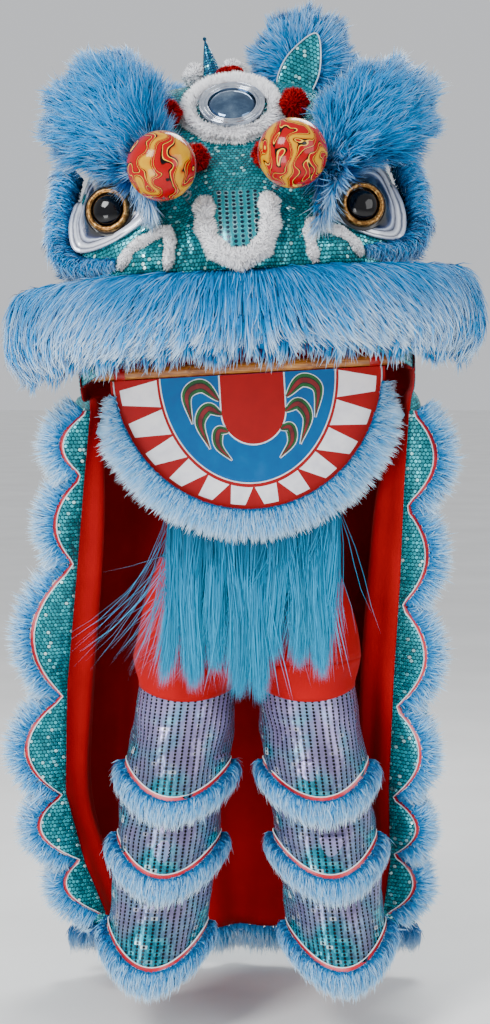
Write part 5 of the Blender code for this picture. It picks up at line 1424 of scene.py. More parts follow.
# %% [markdown]
# The jaw is a half-oval board, enamelled red, with the inside of a mouth painted on it: a blue
# field, a red tongue edged in white, twelve teeth and three pairs of leaf curls, which are old
# stock ornament. Each colour is cut as its own thin plate, so every edge stays crisp.

# %% Jaw board
JAW_HALF, JAW_DROP, JAW_TOP, JAW_THICK = 0.286, 0.292, -0.0141, 0.005
FIELD_HALF, FIELD_DROP = 0.181, 0.226
TONGUE_HALF, TONGUE_DROP, TONGUE_X = 0.066, 0.146, 0.008
PAINT = 0.35 * MM
jaw_matrix = Matrix.Rotation(HEAD_ROLL, 4, "Y")


def half_oval(half, drop, count=64, start=0.0, end=1.0, x=0.0):
    """Outline of a half oval below the bar, right corner to left corner: x, z."""
    turn = math.pi * np.linspace(start, end, count)
    return np.stack([x + half * np.cos(turn), JAW_TOP - drop * np.sin(turn)], -1)


def plates(name, outlines, near, far, finish, stands_for=(), slot="jaw_board"):
    """Flat plates between two depths, cut to outlines seen from the front."""
    points, faces = [], []
    for outline in outlines:
        outline = np.asarray(outline, float)
        count, start = len(outline), len(points)
        front = np.stack([outline[:, 0], np.full(count, near), outline[:, 1]], -1)
        back = front + (0, far - near, 0)
        points += [*front, *back]
        faces.append(tuple(range(start, start + count)))
        faces.append(tuple(range(start + 2 * count - 1, start + count - 1, -1)))
        faces += [
            (start + i, start + (i + 1) % count, start + count + (i + 1) % count, start + count + i)
            for i in range(count)
        ]
    thing = place(name, through(jaw_matrix, points), faces, finish, stands_for, slot, body="jaw")
    thing.data.shade_flat()
    return thing


face_y = -JAW_THICK / 2
plates("jaw_red_board", [half_oval(JAW_HALF, JAW_DROP)], face_y, -face_y, red_enamel, "jaw_board")
plates("jaw_blue_field", [half_oval(FIELD_HALF, FIELD_DROP)], face_y - PAINT, face_y + 0.0002, blue_enamel)
rim_path = half_oval(JAW_HALF - 0.007, JAW_DROP - 0.007, 90, 0.0, 1.0)
rim_path = np.stack([rim_path[:, 0], np.full(90, face_y - 0.0008), rim_path[:, 1]], -1)
tube("jaw_rim_piping", through(jaw_matrix, rim_path), 1.6 * MM, silver_piping, None, body="jaw")


def ribbon_outline(line, half):
    """Outline of a line with a width that may change along it."""
    line = np.asarray(line, float)
    way = unit(np.gradient(line, axis=0))
    side = np.stack([-way[:, 1], way[:, 0]], -1) * np.asarray(half, float).reshape(-1, 1)
    return np.vstack([line + side, (line - side)[::-1]])


edge = half_oval(FIELD_HALF + 0.0015, FIELD_DROP + 0.0015, 80)
plates("jaw_field_line", [ribbon_outline(edge, np.full(80, 0.0013))], face_y - 2 * PAINT, face_y + 0.0002, white_line)

# %% Teeth and tongue
TEETH = 12
TOOTH_INNER = 1.045
TOOTH_OUTER = 0.935
teeth = []
for i in range(TEETH):
    low, high = (i + 0.04) / TEETH, (i + 0.96) / TEETH
    lean = 0.24 / TEETH
    inner = half_oval(FIELD_HALF * TOOTH_INNER, FIELD_DROP * TOOTH_INNER, 7, low, high)
    outer = half_oval(JAW_HALF * TOOTH_OUTER, JAW_DROP * TOOTH_OUTER, 7, low + lean, high - lean)
    teeth.append(np.vstack([inner, outer[::-1]]))
plates("jaw_teeth", teeth, face_y - 2 * PAINT, face_y + 0.0002, tooth_enamel)


def tongue(grow):
    half, drop = TONGUE_HALF + grow, TONGUE_DROP + grow
    bowl = half_oval(half, half * 1.05, 32, x=TONGUE_X) - (0, drop - half * 1.05)
    return np.vstack([(TONGUE_X + half, JAW_TOP - 0.0004), bowl, (TONGUE_X - half, JAW_TOP - 0.0004)])


plates("jaw_tongue_edge", [tongue(0.003)], face_y - 2 * PAINT, face_y + 0.0002, white_line)
plates("jaw_tongue", [tongue(0.0)], face_y - 3.5 * PAINT, face_y + 0.0002, red_enamel)

# %% [markdown]
# A leaf curl is a bowed blade, thick in the middle and pointed at both ends. Each one is drawn
# four times, narrower each time: white line, green blade, black vein and wine-red heart. Both
# sides of the mouth share the same three curves.

# %% Leaf curls
CURLS = [
    ([(0.070, -0.066), (0.104, -0.034), (0.136, -0.052), (0.128, -0.112)], 0.0135),
    ([(0.066, -0.096), (0.094, -0.082), (0.112, -0.112), (0.094, -0.166)], 0.0125),
    ([(0.054, -0.132), (0.074, -0.130), (0.076, -0.160), (0.050, -0.192)], 0.0105),
]
CURL_LAYERS = [
    ("jaw_curl_lines", 1.0, 0.0018, white_line), ("jaw_curls_green", 1.0, 0.0, green_enamel),
    ("jaw_curl_veins", 0.50, 0.0, black_enamel), ("jaw_curls_wine", 0.36, 0.0, wine_enamel),
]
for level, (name, wide, grow, finish) in enumerate(CURL_LAYERS):
    outlines = []
    for knots, half in CURLS:
        line = smooth(knots, 30)
        swell = np.sin(math.pi * np.linspace(0.02, 0.99, 30) ** 0.8)
        blade = ribbon_outline(line, half * wide * swell + grow)
        outlines += [blade * (sign, 1) + (TONGUE_X, 0.0) for sign in (-1, 1)]
    plates(name, outlines, face_y - (2 + level) * PAINT, face_y + 0.0002, finish)

# %% [markdown]
# A trim of pale fur runs all round the jaw's curved edge, and long straight hair hangs behind
# it as the beard. The beard falls in nine locks: each strand starts along the board's edge and
# is drawn to the lock it belongs to.

# %% Jaw fur
JAW_FUR_LENGTH, JAW_FUR_DEPTH, JAW_FUR_FROM = 0.066, 0.036, 0.035
share = np.linspace(JAW_FUR_FROM, 1 - JAW_FUR_FROM, 91)


def jaw_edge(share, grow=0.0):
    turn = math.pi * share
    return np.stack([
        (JAW_HALF + grow) * np.cos(turn), 0 * turn, JAW_TOP - (JAW_DROP + grow) * np.sin(turn)
    ], -1)


along = unit(jaw_edge(share + 0.004) - jaw_edge(share - 0.004))
lie = unit(np.cross(along, (0.0, 1.0, 0.0)))
point = jaw_edge(share, -0.005)
lie[(lie * point).sum(1) < 0] *= -1
fade = np.minimum(1.0, 0.30 + 7.0 * np.minimum(share - JAW_FUR_FROM, 1 - JAW_FUR_FROM - share))
toward = np.tile((0.0, -1.0, 0.0), (91, 1))
FLAT_PROFILE = [(-0.10, 0.25), (0.0, 0.80), (0.48, 1.0), (1.04, 0.30)]
fringe(
    "jaw_hair", "jaw_fur",
    (
        on_head(point + (0, -JAW_THICK / 2 - GAP, 0)), on_head(lie), on_head(toward),
        JAW_FUR_LENGTH * fade, JAW_FUR_DEPTH * fade,
    ),
    FLAT_PROFILE, 13000, 2.9 * MM, pale_pile, "cheek_fur", locks=60, body="jaw", pull=0.35,
    pale=lambda points, q: 0.15 + 0.5 * q, starts=(0.0, 0.6), reach=(0.4, 0.62), sink=7 * MM,
    stray=5 * MM, tone=PALE_UNDERCOAT, spans=2,
)

# %% Beard
BEARD_ROWS = np.array([
    (0.172, 0.142, -0.600), (0.128, 0.112, -0.680), (0.086, 0.078, -0.655), (0.044, 0.022, -0.640),
    (0.004, -0.022, -0.722), (-0.042, -0.052, -0.712), (-0.086, -0.098, -0.655),
    (-0.130, -0.158, -0.690), (-0.172, -0.210, -0.675),
])
BEARD_COUNT, BEARD_STEPS = 8500, 6
BEARD_DEPTH = [(0.0, 0.0), (0.14, 0.002), (0.34, 0.030), (0.68, 0.026), (1.0, 0.003)]
BEARD_BACK = 0.011
BEARD_CORE, BEARD_FLAT, BEARD_LOOSE, BEARD_BLOWN, BEARD_FAR = 0.74, 0.4, 0.05, 0.035, 0.24

root_x = chance.uniform(-0.176, 0.176, BEARD_COUNT)
lock = np.abs(root_x[:, None] - BEARD_ROWS[None, :, 0]).argmin(1)
off = (root_x - BEARD_ROWS[lock, 0]) / 0.022
tip_x = BEARD_ROWS[lock, 1] + off * chance.uniform(0.002, 0.020, BEARD_COUNT)
tip_z = BEARD_ROWS[lock, 2] + np.abs(off) * 0.035 + chance.gamma(1.6, 0.022, BEARD_COUNT)
layer = chance.uniform(-1, 1, BEARD_COUNT)
t = np.linspace(0, 1, BEARD_STEPS)[None]
root_z = JAW_TOP - JAW_DROP * np.sqrt(1 - (root_x / JAW_HALF) ** 2) - 0.002
depth = np.interp(t, *zip(*BEARD_DEPTH))
behind = BEARD_BACK * (1 - t)
y = np.where(layer[:, None] > 0, -depth * layer[:, None], -behind * layer[:, None]) - 0.001
blown = (chance.random((BEARD_COUNT, 1)) < BEARD_BLOWN) * np.minimum(
    chance.gamma(2.0, 0.055, (BEARD_COUNT, 1)), BEARD_FAR
)
wave = 0.009 * np.sin(t * 6.0 + lock[:, None] * 2.1 + chance.normal(0, 0.5, (BEARD_COUNT, 1))) * t
loose = np.where(chance.random((BEARD_COUNT, 1)) < BEARD_LOOSE, 0.034, 0.007)
x = mixed(root_x[:, None], tip_x[:, None], t**1.3) + wave - blown * t**1.5 + chance.normal(0, 1, (BEARD_COUNT, 1)) * loose * t
z = mixed(root_z[:, None], tip_z[:, None], t) + 0.3 * blown * t**2
paths = on_head(np.stack([x, y, z], -1))
normals = unit(on_head(np.stack([off * 0.5, np.where(layer > 0, -1.0, 1.0), 0 * off], -1)))
parts = [strand_mesh(
    paths, normals, chance.uniform(1.1, 2.6, BEARD_COUNT) * MM * np.where(blown[:, 0] > 0, 0.6, 1.0),
    chance.random(BEARD_COUNT),
    np.clip(chance.normal(0.3, 0.25, BEARD_COUNT), 0, 1), taper=0.6,
)]
under, under_normals, under_faces = undercoat("beard", 4 * MM)
top = under[:, 2].max()
under[:, 2] = top + (under[:, 2] - top) * BEARD_CORE
under[:, 1] *= BEARD_FLAT
beard = coat(
    "beard_hair", "beard", parts, (under, under_normals, under_faces), beard_fibre, "beard_hair",
    body=None,
)
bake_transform(beard)

# %% [markdown]
# The cape hangs from the sides and back of the head and is open in front, where its red lining
# shows. Both cloths share one surface: level plans from the table of the solid, drawn finer,
# with shallow folds that grow toward the foot. Shaping it in code keeps it the same on every
# run, where a cloth simulation would settle a little differently each time.

# %% Cape and lining
CAPE_COLUMNS = ("z", "left_x", "right_x", "edge_y", "fold", "side_x", "side_y", "back_y")
CAPE_ROWS = np.array([
    (-0.080, -0.325, 0.338, -0.020, 0.012, 0.372, 0.170, 0.345),
    (-0.250, -0.345, 0.332, 0.030, 0.045, 0.388, 0.230, 0.400),
    (-0.460, -0.368, 0.330, 0.100, 0.058, 0.400, 0.300, 0.440),
    (-0.700, -0.396, 0.323, 0.180, 0.062, 0.405, 0.350, 0.465),
    (-0.940, -0.403, 0.316, 0.200, 0.056, 0.405, 0.360, 0.475),
    (-1.100, -0.362, 0.320, 0.205, 0.050, 0.395, 0.360, 0.475),
    (-1.220, -0.315, 0.305, 0.210, 0.040, 0.380, 0.360, 0.475),
])
CAPE_BACK_FOOT = -1.325
CAPE_ACROSS = 15
CAPE_CORNER, CORNER_IN, EDGE_RUN = 0.80, 0.030, 0.085
CAPE_TOP_LEVELS = (0.095, -0.040)
CAPE_TOP_STAND = 2.5 * MM
CAPE_DRAPE, CAPE_MIDDLE_Y = 12 * MM, 0.150
CLOTH_WALL, LINING_WALL = 1.2 * MM, 0.8 * MM
FOLD_DEPTH, FOLDS = 8 * MM, 15


def cape_value(column, z):
    return np.interp(-z, -CAPE_ROWS[:, 0], CAPE_ROWS[:, CAPE_COLUMNS.index(column)])


def cape_plan(row):
    """One level of the cape, left front edge round the back to the right front edge."""
    z, left_x, right_x, edge_y, fold, side_x, side_y, back_y = row
    near_x, near_y = side_x * CAPE_CORNER, back_y - CORNER_IN
    return smooth([
        (left_x, edge_y, z), (left_x + fold, edge_y + EDGE_RUN, z), (-side_x, side_y, z),
        (-near_x, near_y, z), (-side_x * 0.4, back_y, z), (0.0, back_y + 0.008, z),
        (side_x * 0.4, back_y, z), (near_x, near_y, z), (side_x, side_y, z),
        (right_x - fold, edge_y + EDGE_RUN, z), (right_x, edge_y, z),
    ], CAPE_ACROSS)


top_turns = 2 * math.pi * np.arange(-1, AROUND // 2 + 2) / AROUND
across = np.linspace(0, len(top_turns) - 1, CAPE_ACROSS)[::-1]
plans = []
for z in CAPE_TOP_LEVELS:
    corners = shell_point(top_turns, np.full(len(top_turns), z), CAPE_TOP_STAND)
    plans.append(on_head(np.stack([np.interp(across, np.arange(len(corners)), c) for c in corners.T], -1)))
plans += [cape_plan(row) for row in CAPE_ROWS]
plans = np.array(plans)
round_back = np.sin(math.pi * np.linspace(0, 1, CAPE_ACROSS)) ** 0.8
plans[-1, :, 2] = mixed(CAPE_ROWS[-1, 0], CAPE_BACK_FOOT, round_back)
for level, row in enumerate(plans):
    depth = CAPE_DRAPE * max(0, level - 2) / (len(plans) - 3)
    for i in range(3, CAPE_ACROSS - 3):
        away = unit(np.array((row[i, 0], row[i, 1] - CAPE_MIDDLE_Y, 0.0)))
        row[i] += away * depth * (1 if i % 2 else -1)


def refined(grid, rows, wide):
    """A coarse grid of points drawn finer both ways."""
    down = smooth(grid, rows)
    return np.swapaxes(smooth(np.swapaxes(down, 0, 1), wide), 0, 1)


def grid_normals(grid, closed=False):
    if closed:
        across = np.roll(grid, -1, 1) - np.roll(grid, 1, 1)
    else:
        across = np.gradient(grid, axis=1)
    return unit(np.cross(across, np.gradient(grid, axis=0)))


CAPE_DOWN, CAPE_WIDE = 65, 113
cape_grid = refined(plans, CAPE_DOWN, CAPE_WIDE)
share_down = np.linspace(0, 1, CAPE_DOWN)[:, None]
share_over = np.linspace(0, 1, CAPE_WIDE)[None]
folds = np.sin(share_over * FOLDS * 2 * math.pi + 0.9 * np.sin(share_down * 5.0 + share_over * 9.0))
folds += 0.5 * np.sin(share_over * FOLDS * 4.7 + share_down * 4.0)
calm = np.clip((share_down - 0.12) / 0.3, 0, 1) * np.clip(np.minimum(share_over, 1 - share_over) / 0.05, 0, 1)
cape_grid = cape_grid + grid_normals(cape_grid) * (folds * calm * FOLD_DEPTH)[..., None]
cape_out = grid_normals(cape_grid)
cape = sheet(
    "cape_cloth", cape_grid + cape_out * 1.0 * MM, CLOTH_WALL, cape_sequins, stands_for="cape",
    slot="cape_sequins",
)
lining = sheet(
    "cape_lining_cloth", cape_grid - cape_out * 0.8 * MM, LINING_WALL, red_cotton,
    stands_for="cape_lining", slot="red_lining",
)


def cloth_size(name, grid, closed=False):
    """Prints how wide and long a grid's cloth is."""
    loop = np.concatenate([grid, grid[:, :1]], 1) if closed else grid
    wide = np.linalg.norm(np.diff(loop, axis=1), axis=2).sum(1)
    long = np.linalg.norm(np.diff(grid, axis=0), axis=2).sum(0)
    print(name, "cloth is about", round(float(wide.mean()), 3), "by", round(float(long.mean()), 3), "m")


cloth_size("cape", cape_grid)

# %% [markdown]
# Each front edge carries a scalloped strip of the same sequined cloth. A glitter ribbon and a
# white cord follow its outer edge, and pale fur carries on from it.

# %% Ruffles
RUFFLE_COLUMNS = ("top_z", "foot_z", "out", "forward")
RUFFLE_ROWS = {
    "left": [
        (-0.090, -0.227, 0.055, 0.010), (-0.227, -0.420, 0.054, 0.025),
        (-0.420, -0.722, 0.084, 0.030), (-0.722, -0.945, 0.086, 0.030),
        (-0.945, -1.092, 0.078, 0.025), (-1.092, -1.215, 0.064, 0.020),
    ],
    "right": [
        (-0.090, -0.292, 0.062, 0.010), (-0.292, -0.512, 0.054, 0.025),
        (-0.512, -0.745, 0.062, 0.050), (-0.745, -0.950, 0.062, 0.045),
        (-0.950, -1.080, 0.060, 0.030), (-1.080, -1.215, 0.060, 0.020),
    ],
}
RUFFLE_LEAST, RUFFLE_TURN, RUFFLE_LIFT = 0.012, 0.010, 0.008
RUFFLE_STEPS, RUFFLE_LAP = 14, 5 * MM
RIBBON_WIDTH, RIBBON_STAND = 11 * MM, 1.4 * MM
EDGE_FUR_LENGTH, EDGE_FUR_DEPTH = 0.042, 0.034
EDGE_PROFILE = [(-0.10, 0.25), (0.25, 0.52), (0.65, 0.50), (1.25, 0.10)]


def ruffle(side, sign):
    key = "left_x" if sign < 0 else "right_x"
    base, outer = [], []
    for i, (top, foot, out, forward) in enumerate(RUFFLE_ROWS[side]):
        last = i == len(RUFFLE_ROWS[side]) - 1
        t = np.linspace(0, 1, RUFFLE_STEPS + 1)[: RUFFLE_STEPS + (1 if last else 0)]
        z = mixed(top, foot, t)
        bow = np.sin(math.pi * t) ** 0.75
        start = np.stack([cape_value(key, z) + sign * 3 * MM, cape_value("edge_y", z), z], -1)
        reach = np.maximum(RUFFLE_LEAST, out * bow)
        step = np.stack([sign * reach, RUFFLE_TURN * np.cos(math.pi * t) - forward * bow, 0 * t], -1)
        base.append(start)
        outer.append(start + step)
    base, outer = np.vstack(base), np.vstack(outer)
    share = np.linspace(0, 1, 13)[None, :, None]
    swell = np.array((0.0, -RUFFLE_LIFT, 0.0)) * (4 * share * (1 - share))
    grid = base[:, None] + (outer - base)[:, None] * share + swell
    grid[:, 0] += (-sign * RUFFLE_LAP, -1 * MM, 0)
    strip = sheet(
        f"ruffle_cloth_{side}", grid, 1.5 * MM, cape_sequins, stands_for=f"ruffle_{side}",
        slot="cape_sequins", flat=grid[..., (0, 2)],
    )
    wide = np.linalg.norm(outer - base, axis=1)
    inner_share = 1 - np.minimum(RIBBON_WIDTH / wide, 0.7)[:, None, None]
    share = inner_share + (0.985 - inner_share) * np.linspace(0, 1, 4)[None, :, None]
    lift = np.array((0.0, -RUFFLE_LIFT, 0.0)) * (4 * share * (1 - share)) + (0, -RIBBON_STAND, 0)
    band = base[:, None] + (outer - base)[:, None] * share + lift
    ribbon = sheet(f"ruffle_ribbon_{side}", band, 0.5 * MM, glitter_ribbon)
    cords = [
        tube(f"ruffle_cord_{side}_{i}", path, 1.3 * MM, white_cord, None, sides=6)
        for i, path in enumerate((band[:, 0] + (0, -0.6 * MM, 0), band[:, -1] + (0, -0.6 * MM, 0)))
    ]
    cloth_size(f"ruffle {side}", grid)
    way = unit(np.gradient(outer, axis=0))
    lie = unit(np.cross(way, (0.0, 1.0, 0.0)))
    lie[lie[:, 0] * sign < 0] *= -1
    count = len(outer)
    fringe(
        f"ruffle_hair_{side}", f"ruffle_fur_{side}",
        (
            outer + lie * 0.6 * MM, lie, np.tile((0.0, -1.0, 0.0), (count, 1)),
            np.full(count, EDGE_FUR_LENGTH), np.full(count, EDGE_FUR_DEPTH),
        ),
        EDGE_PROFILE, 11000, 3.0 * MM, pale_pile, "ruffle_fur", locks=110, both=True, pull=0.35,
        pale=lambda points, q: 0.2 + 0.6 * q, starts=(0.0, 0.5), reach=(0.45, 0.75), sink=7 * MM,
        stray=6 * MM, tone=PALE_UNDERCOAT, spans=2,
    )


ruffle("left", -1)
ruffle("right", 1)

# %% Hem fur
HEM_FUR_LENGTH, HEM_AT_CORNER, HEM_RUN = 0.052, 0.35, 14
foot = cape_grid[-1]
away = unit((foot - (0, CAPE_MIDDLE_Y, 0)) * (1, 1, 0))
count = len(foot)
ends = np.minimum(1.0, HEM_AT_CORNER + np.minimum(np.arange(count), np.arange(count)[::-1]) / HEM_RUN)
fringe(
    "cape_hem_hair", "cape_hem_fur",
    (
        foot - (0, 0, 2.8 * MM), np.tile((0.0, 0.0, -1.0), (count, 1)), away,
        HEM_FUR_LENGTH * ends, EDGE_FUR_DEPTH * ends,
    ),
    EDGE_PROFILE, 9000, 3.2 * MM, pale_pile, "ruffle_fur", locks=130, both=True, pull=0.35,
    pale=lambda points, q: 0.5 + 0.5 * q, starts=(0.0, 0.5), reach=(0.5, 0.8), sink=12 * MM,
    stray=6 * MM, tone=PALE_UNDERCOAT, spans=2,
    back=(1500, 30 * MM, 3.2 * MM, (0.0, -0.3, -1.0), (0.0, 1.0, 0.0)),
)

# %% [markdown]
# The trousers have a plain red top and three flounces of lilac sequins to each leg. Every
# flounce is a tube that flares to a hem with two dips; ribbon, cord and fur follow the hem.

# %% Trouser legs
LEG_TOP, LEG_FOOT = np.array((0.129, 0.162, -0.690)), np.array((0.197, 0.045, -1.231))
TIER_COLUMNS = ("top_z", "hem_z", "dip", "top_radius", "hem_radius")
TIER_ROWS = [
    (-0.687, -0.889, 0.030, 0.1048, 0.1120),
    (-0.830, -1.045, 0.033, 0.1077, 0.1085),
    (-0.985, -1.231, 0.036, 0.1062, 0.1035),
]
LEG_FUR_LENGTH, LEG_FUR_DEPTH, LEG_FUR_STAND = 0.058, 0.026, 0.8 * MM
TIER_FLARE, TIER_CREASE = 1.5 * MM, 4.5 * MM
LEG_AROUND = 60


def leg_ring(sign, z, radius, count=LEG_AROUND):
    """Points round a leg from its back, where the seam is; z and radius may change round it."""
    turn = 2 * math.pi * np.arange(count) / count
    z, radius = z + 0 * turn, radius + 0 * turn
    share = ((LEG_TOP[2] - z) / (LEG_TOP[2] - LEG_FOOT[2]))[:, None]
    centre = mixed(LEG_TOP, LEG_FOOT, share)
    around = np.stack([np.sin(turn), np.cos(turn), 0 * turn], -1)
    return centre * (sign, 1, 1) + around * radius[:, None]


def tier(side, sign, number, row):
    top_z, hem_z, dip, top_radius, hem_radius = row
    turn = 2 * math.pi * np.arange(LEG_AROUND) / LEG_AROUND
    hem = hem_z - dip * np.cos(2 * turn)

    def radius(z):
        return top_radius + (hem_radius - top_radius) * (top_z - z) / (top_z - hem_z)

    def at(share, grow=0.0):
        z = mixed(top_z, hem, share)
        pleat = TIER_FLARE * share * np.sin(turn * 9 + number)
        slack = math.sin(math.pi * max(0.0, (share - 0.25) / 0.75)) * TIER_CREASE
        pleat = pleat + slack * np.sin(turn * 3 + share * 5 + number * 2 + sign)
        pleat = pleat + slack * 0.5 * np.sin(turn * 5 - share * 9 + number)
        return leg_ring(sign, z, radius(z) + pleat + TIER_FLARE * share + grow)

    grid = np.array([at(share) for share in np.linspace(0, 1, 17)])
    cloth = sheet(
        f"flounce_{side}_{number}", grid, 1.4 * MM, trouser_sequins, closed=True,
        stands_for=f"leg_tier_{side}_{number}", slot="trouser_sequins",
    )
    high = RIBBON_WIDTH / (top_z - hem)
    band = np.array([
        leg_ring(sign, mixed(top_z, hem, 1 - high * up),
                 radius(mixed(top_z, hem, 1 - high * up)) + 2 * TIER_FLARE + 0.6 * MM)
        for up in (1.15, 0.75, 0.4, 0.05)
    ])
    ribbon = sheet(f"flounce_ribbon_{side}_{number}", band, 0.6 * MM, glitter_ribbon, closed=True)
    edges = [
        tube(f"flounce_cord_{side}_{number}_{i}", band[i], 1.3 * MM, white_cord, None, closed=True, sides=6)
        for i in (0, -1)
    ]
    cloth_size(f"flounce {side} {number}", grid, closed=True)
    ring = leg_ring(sign, hem, radius(hem) + LEG_FUR_STAND)
    below = leg_ring(sign, hem - LEG_FUR_LENGTH, radius(hem - LEG_FUR_LENGTH) + LEG_FUR_STAND)
    lie = unit(below - ring)
    share = ((LEG_TOP[2] - hem) / (LEG_TOP[2] - LEG_FOOT[2]))[:, None]
    away = unit((ring - mixed(LEG_TOP, LEG_FOOT, share) * (sign, 1, 1)) * (1, 1, 0))
    fringe(
        f"flounce_hair_{side}_{number}", f"leg_fur_{side}_{number}",
        (ring, lie, away, np.full(LEG_AROUND, LEG_FUR_LENGTH), np.full(LEG_AROUND, LEG_FUR_DEPTH)),
        FLAT_PROFILE, 6000, 2.9 * MM, pale_pile, "trouser_fur", closed=True, locks=44, pull=0.35,
        pale=lambda points, q: 0.2 + 0.65 * q, starts=(0.0, 0.55), reach=(0.4, 0.7), sink=6 * MM,
        stray=5 * MM, tone=PALE_UNDERCOAT, spans=2,
    )


for number, row in enumerate(TIER_ROWS, 1):
    tier("left", -1, number, row)
    tier("right", 1, number, row)

# %% Hip yoke
YOKE_ROWS = np.array([(-0.410, 0.190, 0.125), (-0.530, 0.230, 0.138), (-0.630, 0.248, 0.146)])
YOKE_NEXT = (-0.690, 0.240, 0.142)
YOKE_HEM, YOKE_DIP, YOKE_STAND, SEAM_DROP = -0.702, 0.010, 1.6 * MM, 0.020
OUTER_SPANS, INNER_SPANS = 7, 3
WAIST_AROUND, WAIST_DOWN, YOKE_CREASE, YOKE_FOLD = 84, 13, 3 * MM, 7 * MM

waist_turn = 2 * math.pi * np.arange(WAIST_AROUND) / WAIST_AROUND
waist = smooth(np.vstack([YOKE_ROWS, YOKE_NEXT]), 19)[:WAIST_DOWN]
down = np.linspace(0, 1, WAIST_DOWN)[:, None]
crease = YOKE_CREASE * np.sin(waist_turn * 11) * (1 - 0.9 * down)
crease = crease - YOKE_FOLD * np.sin(math.pi * down) * (0.5 + 0.5 * np.sin(waist_turn * 7 + down * 4))
waist_grid = np.stack([
    -(waist[:, 1:2] + crease) * np.sin(waist_turn),
    LEG_TOP[1] - (waist[:, 2:3] + crease) * np.cos(waist_turn),
    waist[:, :1] + 0 * waist_turn,
], -1)
spans = OUTER_SPANS + INNER_SPANS
at = spans * np.arange(LEG_AROUND) / LEG_AROUND
z, half_width, half_depth = YOKE_ROWS[-1]
hip_turn = math.pi * np.minimum(at / OUTER_SPANS, 1)
seam = np.clip((at - OUTER_SPANS) / INNER_SPANS, 0, 1)
top_ring = np.stack([
    half_width * np.sin(hip_turn),
    LEG_TOP[1] - half_depth * np.where(at > OUTER_SPANS, -np.cos(math.pi * seam), np.cos(hip_turn)),
    z - SEAM_DROP * np.sin(math.pi * seam),
], -1)
hem_turn = 2 * math.pi * (at - 1) / spans
hem_z = YOKE_HEM - YOKE_DIP * np.cos(2 * hem_turn)
top_z, tier_hem, dip, top_radius, hem_radius = TIER_ROWS[0]
reach = top_radius + (hem_radius - top_radius) * (top_z - hem_z) / (top_z - tier_hem) + YOKE_STAND
centre = mixed(LEG_TOP, LEG_FOOT, ((LEG_TOP[2] - hem_z) / (LEG_TOP[2] - LEG_FOOT[2]))[:, None])
hem_ring = centre + np.stack([np.sin(hem_turn), -np.cos(hem_turn), 0 * at], -1) * reach[:, None]
fall = np.linspace(0, 1, 9)[:, None, None]
legs = mixed(top_ring, hem_ring, fall)
legs[..., :2] = mixed(top_ring, hem_ring, fall**2 * (3 - 2 * fall))[..., :2]
drag = np.sin(math.pi * fall[..., 0]) * (0.5 + 0.5 * np.sin(hem_turn * 6 + fall[..., 0] * 4))
legs -= unit(hem_ring - centre) * (YOKE_FOLD * drag)[..., None]
points = np.vstack([waist_grid.reshape(-1, 3), legs.reshape(-1, 3), (legs * (-1, 1, 1)).reshape(-1, 3)])
faces = grid_faces(WAIST_DOWN, WAIST_AROUND, True)
for i in (0, 1):
    faces += grid_faces(9, LEG_AROUND, True, WAIST_AROUND * WAIST_DOWN + i * 9 * LEG_AROUND)
yoke = place("yoke_cloth", points, faces, red_cotton, stands_for="hip_yoke", slot="red_lining")
wall = yoke.modifiers.new("wall", "SOLIDIFY")
wall.thickness, wall.offset = 1.2 * MM, 0.0
cloth_size("yoke waist", waist_grid, closed=True)

# %% [markdown]
# The stage: a plain pale floor under an even pale sky, one large soft light from the left and
# above, a weaker one from the right, a low one for the inside of the cape and one from behind.

# %% Floor, light and camera
FLOOR_Z = -1.42
FLOOR_SIZE = 40.0
stage_look, tree, shader = start_finish("pale_paper", "#F4F4F2", Roughness=0.9)
spot = add(tree, "ShaderNodeTexCoord")
grain = add(tree, "ShaderNodeTexNoise", {"Vector": spot.outputs["Object"], "Scale": 2.0, "Detail": 4.0})
tint = add(
    tree, "ShaderNodeValToRGB", {"Fac": grain.outputs[0]}, stops=[(0.3, "#EEEEEC"), (0.7, "#F8F8F6")]
)
tree.links.new(tint.outputs[0], shader.inputs["Base Color"])
floor_points = [(x, y, FLOOR_Z) for y in (-FLOOR_SIZE, FLOOR_SIZE) for x in (-FLOOR_SIZE, FLOOR_SIZE)]
mesh = bpy.data.meshes.new("floor")
mesh.from_pydata(floor_points, [], grid_faces(2, 2))
mesh.materials.append(stage_look)
floor = bpy.data.objects.new("floor", mesh)
bpy.context.scene.collection.objects.link(floor)
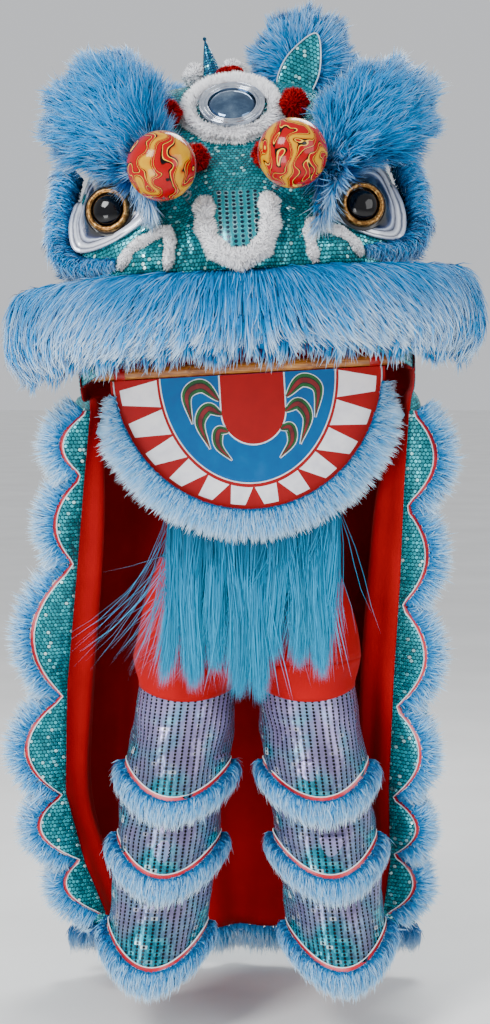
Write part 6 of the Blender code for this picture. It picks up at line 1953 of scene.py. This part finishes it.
floor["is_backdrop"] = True

LIGHT_COLUMNS = ("name", "place", "aims_at", "size", "power")
LIGHT_ROWS = [
    ("key", (-2.4, -3.0, 2.8), (0.0, 0.0, 0.0), 1.6, 215.0),
    ("fill", (3.0, -2.4, 1.2), (0.0, 0.0, -0.2), 2.4, 70.0),
    ("low", (-1.6, -2.6, -0.9), (0.0, 0.2, -0.7), 1.2, 48.0),
    ("rim", (0.8, 2.0, 2.4), (0.0, 0.0, 0.2), 1.4, 90.0),
]
for name, spot, target, size, power in LIGHT_ROWS:
    lamp = bpy.data.lights.new(name, "AREA")
    lamp.size = size
    lamp.energy = power
    holder = bpy.data.objects.new(name, lamp)
    holder.location = spot
    holder.rotation_euler = (Vector(target) - Vector(spot)).to_track_quat("-Z", "Y").to_euler()
    bpy.context.scene.collection.objects.link(holder)

world = bpy.data.worlds.new("studio")
world.use_nodes = True
world.node_tree.nodes["Background"].inputs[0].default_value = linear("#F0F2F6")
world.node_tree.nodes["Background"].inputs[1].default_value = 0.8
bpy.context.scene.world = world

CAMERA_DISTANCE, CAMERA_HEIGHT = 4.2, 0.05
LOOKS_DOWN = math.radians(4.79)
PICTURE_WIDE, PICTURE_HIGH, FOCAL, MIDDLE_X = 490, 1024, 2019, 247
lens = bpy.data.cameras.new("camera")
lens.sensor_fit = "VERTICAL"
lens.sensor_height = 24.0
lens.lens = FOCAL / PICTURE_HIGH * lens.sensor_height
lens.shift_x = -(MIDDLE_X - PICTURE_WIDE / 2) / PICTURE_HIGH
camera = bpy.data.objects.new("camera", lens)
camera.location = (0.0, -CAMERA_DISTANCE, CAMERA_HEIGHT)
camera.rotation_euler = (math.radians(90) - LOOKS_DOWN, 0, 0)
bpy.context.scene.collection.objects.link(camera)
bpy.context.scene.camera = camera

# %% Size and finish
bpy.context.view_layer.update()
drawn = bpy.context.evaluated_depsgraph_get()
counts = {o.name: len(o.evaluated_get(drawn).to_mesh().loop_triangles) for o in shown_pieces()}
print("triangles:", sum(counts.values()), "in", len(counts), "pieces; most:", max(counts.values()))
